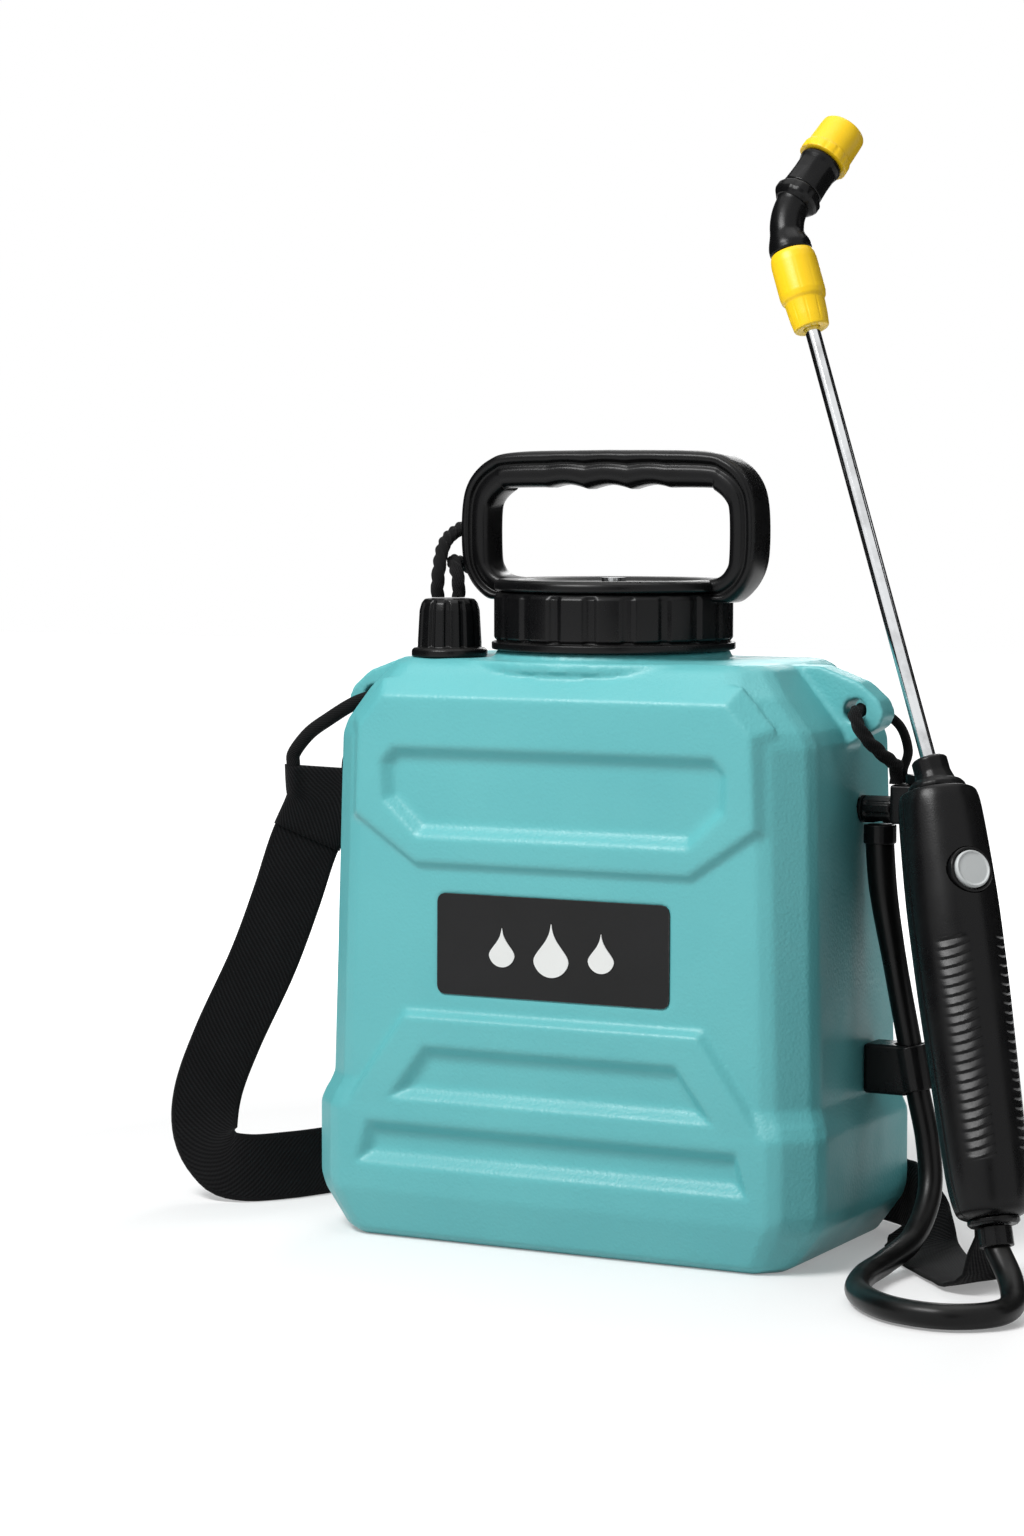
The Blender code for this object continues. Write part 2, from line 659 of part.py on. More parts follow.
def plain_ring(radius, ribs, z):
    """A round ring with the same point places as a ribbed one."""
    ring = []
    for x, y, _ in ribbed(1.0, 0.0, ribs, 0.0):
        ring.append((radius * x, radius * y, z))
    return ring


# Tank

def make_tank():
    brow = SHOULDER_HEIGHT + BROW_RISE
    share = BROW_RISE / (DECK_HEIGHT - SHOULDER_HEIGHT)
    brow_width = SHOULDER_WIDTH + (DECK_WIDTH - SHOULDER_WIDTH) * share
    levels = (
        (0.0, FOOT_WIDTH, FOOT_DEPTH, FOOT_CORNER_CUT),
        (FOOT_HEIGHT, SKIRT_WIDTH, SKIRT_DEPTH, CORNER_CUT),
        (SKIRT_HEIGHT, SKIRT_WIDTH, SKIRT_DEPTH, CORNER_CUT),
        (STEP_TOP, BODY_WIDTH, BODY_DEPTH, CORNER_CUT),
        (SHOULDER_HEIGHT, SHOULDER_WIDTH, SHOULDER_DEPTH, CORNER_CUT),
        (brow, brow_width, SHOULDER_DEPTH, CORNER_CUT),
        (DECK_HEIGHT, DECK_WIDTH, DECK_DEPTH, DECK_CORNER_CUT),
    )
    rings = [cut_corners(w / 2, d / 2, corner, z) for z, w, d, corner in levels]
    tank = stacked("tank_shell", rings)
    rounding = tank.modifiers.new("rounded_edges", "BEVEL")
    rounding.width = EDGE_ROUND
    rounding.segments = 1
    rounding.limit_method = "ANGLE"
    rounding.angle_limit = math.radians(20)
    join(tank, tank_panels(), tank_ears(), tank_neck(), relief_neck())
    cut(tank, tank_recesses(), label_pocket(), tank_cavity(), neck_bores())
    cut(tank, outlet_hole(), ear_holes())
    place(tank, TEAL, 28.0)


def tank_panels():
    bm = bmesh.new()
    root_y = SHOULDER_DEPTH / 2 - 2 * TANK_WALL
    upper_y = body_half(UPPER_PANEL[-1][1])[1] + PANEL_RISE
    wedge_into(bm, mirrored(UPPER_PANEL), ((root_y, PANEL_SLOPE), (upper_y, 0.0)))
    lower_y = SKIRT_DEPTH / 2 - GAP
    wedge_into(bm, mirrored(LOWER_PANEL), ((root_y, PANEL_SLOPE), (lower_y, 0.0)))
    return as_cutter(mesh_object("raised_panels", bm))


def tank_recesses():
    bm = bmesh.new()
    upper_y = body_half(UPPER_PANEL[-1][1])[1] + PANEL_RISE
    lower_y = SKIRT_DEPTH / 2 - GAP
    depth = PANEL_RISE
    for outline, face in ((UPPER_RECESS, upper_y), (LOWER_RECESS, lower_y), (SLOT_RECESS, lower_y)):
        levels = ((face - depth, -RECESS_SLOPE / 2), (face + depth, RECESS_SLOPE))
        wedge_into(bm, mirrored(outline), levels)
    return as_cutter(mesh_object("pressed_recesses", bm))


def label_outline(margin):
    half_w = LABEL_WIDTH / 2 + margin - LABEL_ROUND
    half_h = LABEL_HEIGHT / 2 + margin - LABEL_ROUND
    points = []
    corners = ((half_w, half_h), (-half_w, half_h), (-half_w, -half_h), (half_w, -half_h))
    for turn, corner in enumerate(corners):
        points += arc(corner, LABEL_ROUND, 90 * turn, 90 * turn + 90, 4)
    return points


def label_place(y):
    """The label's frame, lying on the slightly leaning front wall."""
    return Matrix.Translation((0.0, y, LABEL_CENTRE_Z)) @ label_lean() @ UPRIGHT


def label_lean():
    fall = (BODY_DEPTH - SHOULDER_DEPTH) / 2 / (SHOULDER_HEIGHT - STEP_TOP)
    return Matrix.Rotation(-math.atan(fall), 4, "X")


def label_pocket():
    pocket = flat_outline("label_pocket", label_outline(CORD_GAP), LABEL_THICK)
    pocket.matrix_world = label_place(-body_half(LABEL_CENTRE_Z)[1])
    return as_cutter(pocket)


def make_label():
    plate = flat_outline("label_plate", label_outline(0.0), LABEL_THICK / 2)
    plate.matrix_world = label_place(-body_half(LABEL_CENTRE_Z)[1] + LABEL_THICK / 2 - GAP)
    place(plate, LABEL)


def tank_cavity():
    wall = TANK_WALL
    brow_depth = (SHOULDER_DEPTH + DECK_DEPTH) / 2 - wall
    levels = (
        (wall, FOOT_WIDTH - wall, FOOT_DEPTH - 4 * wall),
        (FOOT_HEIGHT, BODY_WIDTH - wall, BODY_DEPTH - 2 * wall),
        (STEP_TOP, BODY_WIDTH - 2 * wall, BODY_DEPTH - 2 * wall),
        (SHOULDER_HEIGHT - wall / 2, SHOULDER_WIDTH - 2 * wall, SHOULDER_DEPTH - 2 * wall),
        (DECK_HEIGHT - wall, DECK_WIDTH - 2 * wall / 3, min(brow_depth, DECK_DEPTH - wall)),
    )
    rings = [cut_corners(w / 2, d / 2, CORNER_CUT, z) for z, w, d in levels]
    return as_cutter(stacked("tank_cavity", rings))


def ear_centre(side):
    x = side * (SHOULDER_WIDTH / 2 + EAR_HOLE_OUT)
    return Vector((x, 0.0, SHOULDER_HEIGHT + EAR_HOLE_UP))


def tank_ears():
    drop = DECK_HEIGHT - SHOULDER_HEIGHT
    inset = (SHOULDER_WIDTH - DECK_WIDTH) / 2
    bm = bmesh.new()
    for side in (-1.0, 1.0):
        outline = (
            (-inset - 2 * TANK_WALL, drop - TANK_WALL / 2), (-inset / 2, drop - TANK_WALL / 2),
            (EAR_REACH / 3, drop * 0.74), (EAR_REACH * 0.85, drop / 2),
            (EAR_REACH, drop * 0.3), (EAR_REACH * 0.85, drop * 0.12), (-TANK_WALL, -drop / 5),
        )
        rings = []
        for y in (-EAR_THICK / 2, EAR_THICK / 2):
            ring = []
            for x, z in outline:
                ring.append((side * (SHOULDER_WIDTH / 2 + x), y, SHOULDER_HEIGHT + z))
            rings.append(ring)
        stack_into(bm, rings)
    return as_cutter(mesh_object("strap_ears", bm))


def ear_holes():
    bm = bmesh.new()
    for side in (-1.0, 1.0):
        centre = ear_centre(side)
        turn = Matrix.Translation(centre) @ UPRIGHT
        bmesh.ops.create_cone(
            bm, cap_ends=True, segments=16, radius1=EAR_HOLE_RADIUS, radius2=EAR_HOLE_RADIUS,
            depth=EAR_THICK * 2, matrix=turn,
        )
    return as_cutter(mesh_object("ear_holes", bm))


def tank_neck():
    sink = DECK_HEIGHT - TANK_WALL / 2
    boss_top = DECK_HEIGHT + NECK_BOSS_HEIGHT
    profile = (
        (0.0, NECK_TOP), (NECK_RADIUS, NECK_TOP), (NECK_RADIUS, boss_top),
        (NECK_BOSS_RADIUS, boss_top), (NECK_BOSS_RADIUS, sink), (0.0, sink),
    )
    return as_cutter(turned("wide_neck", profile, 40))


def relief_neck():
    low = DECK_HEIGHT - TANK_WALL / 2
    high = DECK_HEIGHT + RELIEF_NECK_HEIGHT
    spot = Matrix.Translation((RELIEF_X, RELIEF_Y, 0.0))
    return as_cutter(turned("relief_neck", disc_profile(RELIEF_NECK_RADIUS, low, high), 20, spot))


def neck_bores():
    bm = bmesh.new()
    low = DECK_HEIGHT - 2 * TANK_WALL
    for x, y, radius, top, steps in (
        (0.0, 0.0, NECK_BORE, NECK_TOP, 40),
        (RELIEF_X, RELIEF_Y, RELIEF_NECK_RADIUS - RELIEF_NECK_WALL, DECK_HEIGHT + RELIEF_NECK_HEIGHT, 20),
    ):
        high = top + TANK_WALL
        middle = Matrix.Translation((x, y, (low + high) / 2))
        bmesh.ops.create_cone(
            bm, cap_ends=True, segments=steps, radius1=radius, radius2=radius,
            depth=high - low, matrix=middle,
        )
    return as_cutter(mesh_object("neck_bores", bm))


def outlet_hole():
    start = (OUTLET_WALL_X - 3 * TANK_WALL, OUTLET_Y, OUTLET_Z)
    end = (OUTLET_WALL_X + 2 * TANK_WALL, OUTLET_Y, OUTLET_Z)
    return round_cutter("outlet_hole", OUTLET_STEM_RADIUS + GAP, start, end)


# Collar and pump

def make_collar():
    bore = NECK_RADIUS + RUNNING_GAP
    lip = COLLAR_RADIUS - COLLAR_LIP_WIDTH
    flange_top = COLLAR_BOTTOM + COLLAR_FLANGE_HEIGHT
    under_lip = COLLAR_TOP - COLLAR_LIP_THICK
    rings = (
        plain_ring(COLLAR_FLANGE_RADIUS, COLLAR_RIBS, COLLAR_BOTTOM),
        plain_ring(COLLAR_FLANGE_RADIUS, COLLAR_RIBS, flange_top),
        ribbed(COLLAR_RADIUS, COLLAR_RIB_DEPTH, COLLAR_RIBS, flange_top),
        ribbed(COLLAR_RADIUS, COLLAR_RIB_DEPTH, COLLAR_RIBS, COLLAR_TOP - 2 * COLLAR_EDGE),
        plain_ring(COLLAR_RADIUS - COLLAR_EDGE, COLLAR_RIBS, COLLAR_TOP),
        plain_ring(lip, COLLAR_RIBS, COLLAR_TOP),
        plain_ring(lip, COLLAR_RIBS, under_lip),
        plain_ring(bore, COLLAR_RIBS, under_lip),
        plain_ring(bore, COLLAR_RIBS, COLLAR_BOTTOM),
    )
    place(stacked("screw_collar", rings, closed=True), BLACK, 25.0)


def make_pump():
    seat = NECK_TOP + GAP
    gasket = ring_profile(NECK_BORE + GAP, NECK_RADIUS - GAP, seat, seat + GASKET_THICK)
    place(turned("pump_gasket", gasket, 32, looped=True), RUBBER)
    floor_top = BARREL_BOTTOM + BARREL_FLOOR
    hole = VALVE_STEM_RADIUS + GAP
    barrel = (
        (NECK_RADIUS - GAP, FLANGE_TOP), (NECK_RADIUS - GAP, FLANGE_BOTTOM),
        (BARREL_RADIUS, FLANGE_BOTTOM), (BARREL_RADIUS, BARREL_BOTTOM), (hole, BARREL_BOTTOM),
        (hole, floor_top), (BARREL_BORE, floor_top), (BARREL_BORE, FLANGE_TOP),
    )
    place(turned("pump_barrel", barrel, 24, looped=True), NATURAL)
    disc_top = BARREL_BOTTOM - GAP
    knob = floor_top + GAP
    check = (
        (0.0, knob + VALVE_KNOB_HEIGHT), (VALVE_KNOB_RADIUS, knob), (VALVE_STEM_RADIUS, knob),
        (VALVE_STEM_RADIUS, disc_top), (VALVE_DISC_RADIUS, disc_top),
        (VALVE_DISC_RADIUS, disc_top - VALVE_DISC_THICK), (0.0, disc_top - VALVE_DISC_THICK),
    )
    place(turned("check_valve", check, 14), RUBBER)
    guide = ring_profile(
        ROD_RADIUS + RUNNING_GAP, BARREL_BORE - GAP, FLANGE_TOP - GUIDE_DEPTH, FLANGE_TOP + GAP / 2
    )
    place(turned("rod_guide", guide, 24, looped=True), BLACK)


def make_plunger():
    rod_top = BASE_BOTTOM - GAP
    spigot_top = BASE_TOP - BASE_DISH_DEPTH - GAP
    screw_hole = HANDLE_SCREW_SHANK + GAP
    screw_end = BASE_BOTTOM - 2 * BASE_THICK
    rod = (
        (screw_hole, spigot_top), (ROD_SPIGOT_RADIUS, spigot_top), (ROD_SPIGOT_RADIUS, rod_top),
        (ROD_RADIUS, rod_top), (ROD_RADIUS, PISTON_TOP + GAP), (ROD_SPIGOT_RADIUS, PISTON_TOP + GAP),
        (ROD_SPIGOT_RADIUS, PISTON_BOTTOM + PISTON_HEIGHT / 4), (0.0, PISTON_BOTTOM + PISTON_HEIGHT / 4),
        (0.0, screw_end), (screw_hole, screw_end),
    )
    rod = (rod[8], rod[9], *rod[:8])
    place(turned("piston_rod", rod, 16), STEEL)
    head = BARREL_BORE - RUNNING_GAP
    socket = ROD_SPIGOT_RADIUS + GAP
    groove_low = PISTON_TOP - CUP_HEIGHT - PISTON_HEIGHT / 6
    groove_high = groove_low + CUP_HEIGHT + 2 * GAP
    inner = head - CUP_DEPTH
    piston = (
        (socket, PISTON_TOP), (head, PISTON_TOP), (head, groove_high), (inner, groove_high),
        (inner, groove_low), (head, groove_low), (head, PISTON_BOTTOM), (0.0, PISTON_BOTTOM),
        (0.0, PISTON_BOTTOM + PISTON_HEIGHT / 4 - GAP), (socket, PISTON_BOTTOM + PISTON_HEIGHT / 4 - GAP),
    )
    piston = (piston[8], piston[9], *piston[:8])
    place(turned("piston_head", piston, 20), BLACK)
    cup = ring_profile(inner + GAP, head, groove_low + GAP, groove_high - GAP)
    place(turned("piston_cup", cup, 20, looped=True), RUBBER)
    dish = BASE_TOP - BASE_DISH_DEPTH
    screw = (
        (0.0, dish + HANDLE_SCREW_HEAD + GAP), (HANDLE_SCREW_RADIUS, dish + HANDLE_SCREW_HEAD + GAP),
        (HANDLE_SCREW_RADIUS, dish + GAP), (HANDLE_SCREW_SHANK, dish + GAP),
        (HANDLE_SCREW_SHANK, screw_end + GAP), (0.0, screw_end + GAP),
    )
    place(turned("handle_screw", screw, 16), STEEL)
    make_handle()


def handle_outline():
    half = HANDLE_WIDTH / 2
    arm_inner = COLLAR_FLANGE_RADIUS + GAP
    arm_low = BASE_BOTTOM - HANDLE_ARM_DROP
    knee = HANDLE_POST * 1.7
    arm = half - arm_inner
    corner = HANDLE_CORNER
    right = [
        (half - corner * 1.15, HANDLE_TOP), (half - corner * 0.55, HANDLE_TOP - corner * 0.16),
        (half - corner * 0.16, HANDLE_TOP - corner * 0.52), (half, HANDLE_TOP - corner * 1.05),
        (half, BASE_TOP + knee * 0.45), (half - arm * 0.23, BASE_TOP - knee * 0.05),
        (half - arm * 0.65, arm_low + HANDLE_ARM_DROP * 0.2), (arm_inner, arm_low),
        (arm_inner, BASE_BOTTOM + GAP),
    ]
    return mirrored(right)


def handle_opening():
    half = HANDLE_WIDTH / 2 - HANDLE_POST
    low = BASE_TOP - GAP
    bar = HANDLE_TOP - HANDLE_BAR
    fillet = HANDLE_CORNER * 0.5
    points = [(half - fillet, bar), (half - fillet * 0.3, bar - fillet * 0.32), (half, bar - fillet)]
    points += [(half, BASE_TOP + fillet * 0.9), (half - fillet * 0.3, BASE_TOP + fillet * 0.25)]
    points += [(half - fillet * 1.2, low)]
    points += [(-x, z) for x, z in reversed(points)]
    steps = SCALLOPS * 6
    for i in range(1, steps):
        x = SCALLOP_SPAN * (i / steps - 0.5)
        lift = abs(math.sin(math.pi * SCALLOPS * i / steps))
        bow = SCALLOP_DEPTH * 1.6 * (x / SCALLOP_SPAN) ** 2
        points.append((x, bar + SCALLOP_DEPTH * (lift - 0.25) - bow))
    return points


def make_handle():
    loop = flat_outline("pump_handle", handle_outline(), HANDLE_DEPTH / 2, handle_opening(), HANDLE_EDGE)
    loop.data.transform(UPRIGHT)
    dish = BASE_TOP - BASE_DISH_DEPTH
    edge = BASE_THICK / 5
    base = (
        (0.0, BASE_TOP), (COLLAR_RADIUS - edge, BASE_TOP), (COLLAR_RADIUS, BASE_TOP - edge),
        (COLLAR_RADIUS, BASE_BOTTOM), (0.0, BASE_BOTTOM),
    )
    join(loop, as_cutter(turned("handle_base", base, 40)))
    dish_profile = (
        (0.0, HANDLE_TOP - HANDLE_BAR * 2), (BASE_DISH_RADIUS + edge, HANDLE_TOP - HANDLE_BAR * 2),
        (BASE_DISH_RADIUS + edge, BASE_TOP), (BASE_DISH_RADIUS, dish), (0.0, dish),
    )
    cut(loop, as_cutter(turned("handle_dish", dish_profile, 32)))
    low = (0.0, 0.0, BASE_BOTTOM - BASE_THICK)
    high = (0.0, 0.0, BASE_TOP + BASE_THICK)
    cut(loop, round_cutter("rod_socket", ROD_SPIGOT_RADIUS + GAP, low, high, 20))
    place(loop, BLACK)


# Relief cap

def make_relief():
    spot = Matrix.Translation((RELIEF_X, RELIEF_Y, 0.0))
    flange_top = RELIEF_BOTTOM + RELIEF_FLANGE_HEIGHT
    rings = (
        plain_ring(RELIEF_FLANGE_RADIUS, RELIEF_RIBS, RELIEF_BOTTOM),
        plain_ring(RELIEF_FLANGE_RADIUS, RELIEF_RIBS, flange_top - COLLAR_EDGE),
        plain_ring(RELIEF_FLANGE_RADIUS - COLLAR_EDGE, RELIEF_RIBS, flange_top),
        ribbed(RELIEF_RADIUS, RELIEF_RIB_DEPTH, RELIEF_RIBS, flange_top),
        ribbed(RELIEF_TOP_RADIUS, RELIEF_RIB_DEPTH, RELIEF_RIBS, RELIEF_TOP - 2 * COLLAR_EDGE),
        plain_ring(RELIEF_TOP_RADIUS - 2 * COLLAR_EDGE, RELIEF_RIBS, RELIEF_TOP),
    )
    cap = stacked("relief_cap", rings)
    cap.matrix_world = spot
    low = (RELIEF_X, RELIEF_Y, RELIEF_BOTTOM - RELIEF_FLANGE_HEIGHT)
    high = (RELIEF_X, RELIEF_Y, RELIEF_ROOF)
    cut(cap, round_cutter("relief_bore", RELIEF_NECK_RADIUS + RUNNING_GAP, low, high, 20))
    place(cap, BLACK, 25.0)
    seat = DECK_HEIGHT + RELIEF_NECK_HEIGHT + GAP
    seal = disc_profile(RELIEF_NECK_RADIUS - GAP, seat, seat + RELIEF_GASKET_THICK)
    place(turned("relief_gasket", seal, 20, spot), RUBBER)
    make_cap_cord()


def make_cap_cord():
    top = RELIEF_TOP + GAP
    outer = LOOP_RADIUS + LOOP_RIB
    spread = LOOP_RADIUS * 1.9
    first = Vector((RELIEF_X - spread, RELIEF_Y - spread / 3, top))
    last = Vector((RELIEF_X + spread / 2, RELIEF_Y + spread * 0.7, top))
    lift = Vector((0.0, 0.0, outer))
    first = [first, first + lift, first + 2 * lift]
    last = [last + 2 * lift, last + lift, last]
    points = through([*first, *CAP_LOOP_ROUTE, *last], LOOP_RIB_PITCH / 2)
    radii = [outer if i % 2 else outer - 2 * LOOP_RIB for i in range(len(points))]
    radii[0] = radii[1] = radii[-1] = radii[-2] = LOOP_RADIUS
    place(tube("cap_cord", points, LOOP_RADIUS, 2, radii), CORD)
    print("cap cord, least gap to itself in mm:", round(1000 * self_gap(points, outer), 2))


def self_gap(points, radius):
    """The least clear distance between stretches of a tube that aren't neighbours."""
    apart = math.ceil(4 * radius / (points[1] - points[0]).length)
    least = math.inf
    for i, a in enumerate(points):
        for b in points[i + apart:]:
            least = min(least, (b - a).length - 2 * radius)
    return least


# Outlet, bracket and pickup

def along_x(x):
    """A frame on the outlet's axis, with its Z along +X."""
    return frame_at((x, OUTLET_Y, OUTLET_Z), (1.0, 0.0, 0.0), (0.0, 1.0, 0.0))


def make_outlet():
    inside = OUTLET_WALL_X - OUTLET_STEM_INSIDE - OUTLET_START_X
    long = OUTLET_BARREL_LENGTH
    rings = (
        plain_ring(OUTLET_STEM_RADIUS, OUTLET_RIBS, inside),
        plain_ring(OUTLET_STEM_RADIUS, OUTLET_RIBS, 0.0),
        plain_ring(OUTLET_BARREL_RADIUS, OUTLET_RIBS, 0.0),
        plain_ring(OUTLET_BARREL_RADIUS, OUTLET_RIBS, COLLAR_EDGE),
        ribbed(OUTLET_BARREL_RADIUS, OUTLET_RIB_DEPTH, OUTLET_RIBS, COLLAR_EDGE + GAP),
        ribbed(OUTLET_BARREL_RADIUS, OUTLET_RIB_DEPTH, OUTLET_RIBS, long - COLLAR_EDGE),
        plain_ring(OUTLET_BARREL_RADIUS - OUTLET_RIB_DEPTH, OUTLET_RIBS, long),
        plain_ring(OUTLET_SPIGOT_RADIUS, OUTLET_RIBS, long),
        plain_ring(OUTLET_SPIGOT_RADIUS, OUTLET_RIBS, long + OUTLET_SPIGOT_LENGTH),
    )
    elbow = stacked("outlet_elbow", rings)
    elbow.matrix_world = along_x(OUTLET_START_X)
    inner_end = (OUTLET_START_X + inside - GAP, OUTLET_Y, OUTLET_Z)
    bore_end = (SPOUT_X, OUTLET_Y, OUTLET_Z)
    bore = PICKUP_RADIUS * 0.6
    spout_end = (SPOUT_X, OUTLET_Y, OUTLET_Z - 2 * OUTLET_BARREL_RADIUS)
    cut(elbow, round_cutter("outlet_bore", bore, inner_end, bore_end, 12))
    cut(elbow, round_cutter("spout_bore", bore * 1.02, bore_end, spout_end, 12))
    place(elbow, BLACK)
    hole = OUTLET_STEM_RADIUS + GAP
    washer = ring_profile(hole, WASHER_RADIUS, 0.0, WASHER_THICK)
    place(turned("outlet_washer", washer, 20, along_x(OUTLET_WALL_X + GAP), looped=True), RUBBER)
    nut_x = OUTLET_WALL_X - TANK_WALL - 3 * GAP - LOCKNUT_THICK
    nut = turned("outlet_locknut", disc_profile(LOCKNUT_RADIUS, 0.0, LOCKNUT_THICK), 6, along_x(nut_x))
    cut(nut, round_cutter("locknut_bore", hole, inner_end, bore_end, 16))
    place(nut, NATURAL)
    make_pickup()
    make_bracket()


def make_pickup():
    x = OUTLET_WALL_X - OUTLET_STEM_INSIDE - GAP
    bend = PICKUP_BEND
    foot = TANK_WALL + STRAINER_LIFT + STRAINER_HEIGHT
    route = [(x, OUTLET_Y, OUTLET_Z), (x - bend / 4, OUTLET_Y, OUTLET_Z)]
    for px, pz in arc((x - bend / 4, OUTLET_Z - bend), bend, 90, 180, 6):
        route.append((px, OUTLET_Y, pz))
    down = x - bend * 1.25
    route.append((down, OUTLET_Y, foot + GAP))
    place(tube("pickup_tube", route, PICKUP_RADIUS, 2), NATURAL)
    low = TANK_WALL + STRAINER_LIFT
    spot = Matrix.Translation((down, OUTLET_Y, 0.0))
    inner = STRAINER_RADIUS - TANK_WALL / 2
    cage = (
        (inner, low), (inner, foot - TANK_WALL / 2), (0.0, foot - TANK_WALL / 2), (0.0, foot),
        (STRAINER_RADIUS, foot), (STRAINER_RADIUS, low),
    )
    cage = (*cage[3:], *cage[:3])
    strainer = turned("strainer", cage, 16, spot)
    for i in range(STRAINER_SLOTS):
        height = low + STRAINER_HEIGHT * (i + 0.6) / (STRAINER_SLOTS + 0.5)
        half = STRAINER_SLOT_WIDTH
        reach = STRAINER_RADIUS * 1.4
        slot = block(
            "strainer_slot_%d" % i, (down - reach, OUTLET_Y - inner / 2, height - half),
            (down + reach, OUTLET_Y + inner / 2, height + half),
        )
        cut(strainer, as_cutter(slot))
    place(strainer, BLACK)


def make_bracket():
    low = (BRACKET_START_X, OUTLET_Y - BRACKET_DEPTH / 2, OUTLET_Z - BRACKET_DOWN)
    high = (BRACKET_END_X, OUTLET_Y + BRACKET_DEPTH / 2, BRACKET_TOP)
    bracket = block("hang_bracket", low, high)
    rounding = bracket.modifiers.new("rounded_edges", "BEVEL")
    rounding.width = COLLAR_EDGE
    rounding.segments = 2
    hole_end = (OUTLET_END_X + OUTLET_SPIGOT_LENGTH + GAP, OUTLET_Y, OUTLET_Z)
    hole_start = (OUTLET_END_X - OUTLET_SPIGOT_LENGTH, OUTLET_Y, OUTLET_Z)
    cut(bracket, round_cutter("spigot_hole", OUTLET_SPIGOT_RADIUS + GAP, hole_start, hole_end, 16))
    half = POCKET_LENGTH / 2
    pocket = block(
        "hook_pocket", (POCKET_X - half, OUTLET_Y - POCKET_WIDTH / 2, BRACKET_TOP - POCKET_DEPTH),
        (POCKET_X + half, OUTLET_Y + POCKET_WIDTH / 2, BRACKET_TOP + POCKET_DEPTH),
    )
    cut(bracket, as_cutter(pocket))
    start = strap_screw_spot() - Vector((2 * POCKET_WALL, 0.0, 0.0))
    end = strap_screw_spot() + Vector((POCKET_WALL, 0.0, 0.0))
    cut(bracket, round_cutter("strap_screw_hole", STRAP_SCREW_SHANK + GAP, start, end, 12))
    place(bracket, BLACK)


# Hose and clip

def make_hose():
    end = GRIP_BOTTOM - GRIP_AXIS * (BARB_FLANGE_THICK + GAP)
    straight = 1.8 * HOSE_RADIUS
    down = Vector((0.0, 0.0, -straight))
    rise = GRIP_AXIS * straight
    first = [HOSE_TOP, HOSE_TOP + down / 2, HOSE_TOP + down]
    route = [*first, *HOSE_ROUTE, end - rise, end - rise / 2, end]
    points = through(route, 1.7 * HOSE_RADIUS)
    place(tube("hose", points, HOSE_RADIUS, 2), RUBBER)
    down = frame_at(HOSE_TOP - Vector((0.0, 0.0, GAP)), (0.0, 0.0, -1.0), (1.0, 0.0, 0.0))
    up = frame_at(end - GRIP_AXIS * GAP, -GRIP_AXIS, (1.0, 0.0, 0.0))
    inner = HOSE_RADIUS + GAP
    sleeve = ring_profile(inner, inner + FERRULE_WALL, 0.0, FERRULE_LENGTH)
    place(turned("hose_ferrule_top", sleeve, 20, down, looped=True), BLACK)
    place(turned("hose_ferrule_grip", sleeve, 20, up, looped=True), BLACK)
    make_clip(points)


def make_clip(points):
    near = min(points, key=lambda p: abs(p.z - CLIP_Z))
    index = points.index(near)
    axis = (points[index - 1] - points[index + 1]).normalized()
    half = CLIP_HEIGHT / 2
    wall_x = body_half(CLIP_Z - half)[0]
    outer = HOSE_RADIUS + CLIP_CLEAR + CLIP_WRAP
    clip = block(
        "hose_clip", (wall_x + GAP, near.y - CLIP_DEPTH / 2, CLIP_Z - half),
        (near.x, near.y + CLIP_DEPTH / 2, CLIP_Z + half),
    )
    rounding = clip.modifiers.new("rounded_edges", "BEVEL")
    rounding.width = COLLAR_EDGE
    rounding.segments = 1
    reach = axis * CLIP_HEIGHT
    join(clip, round_cutter("clip_wrap", outer, near - reach * 0.45, near + reach * 0.45, 20))
    cut(clip, round_cutter("clip_bore", outer - CLIP_WRAP, near - reach * 0.8, near + reach * 0.8, 20))
    place(clip, BLACK)


# Strap and cords

def ribbon(name, stations):
    """A flat band through stations of a centre and a width direction."""
    centres = through([c for c, _ in stations], STRAP_WIDTH / 3)
    ways = [Vector(w) for _, w in stations]
    marks = [Vector(c) for c, _ in stations]
    rings = []
    for i, centre in enumerate(centres):
        ahead = centres[min(i + 1, len(centres) - 1)] - centres[max(i - 1, 0)]
        wide = blended_way(centre, marks, ways)
        wide = (wide - ahead * (wide.dot(ahead) / ahead.length_squared)).normalized()
        thick = ahead.cross(wide).normalized() * (STRAP_THICK / 2)
        wide = wide * (STRAP_WIDTH / 2)
        corners = (wide + thick, wide - thick, -wide - thick, -wide + thick)
        rings.append([centre + c for c in corners])
    return place(stacked(name, rings), WEBBING)


def blended_way(centre, marks, ways):
    """The width direction between the two marks that a point lies between."""
    best = None
    for a, b, first, second in zip(marks, marks[1:], ways, ways[1:]):
        run = b - a
        share = min(1.0, max(0.0, (centre - a).dot(run) / run.length_squared))
        off = (centre - a - run * share).length
        if best is None or off < best[0] - 1e-9:
            best = (off, first.normalized().lerp(second.normalized(), share))
    return best[1].normalized()


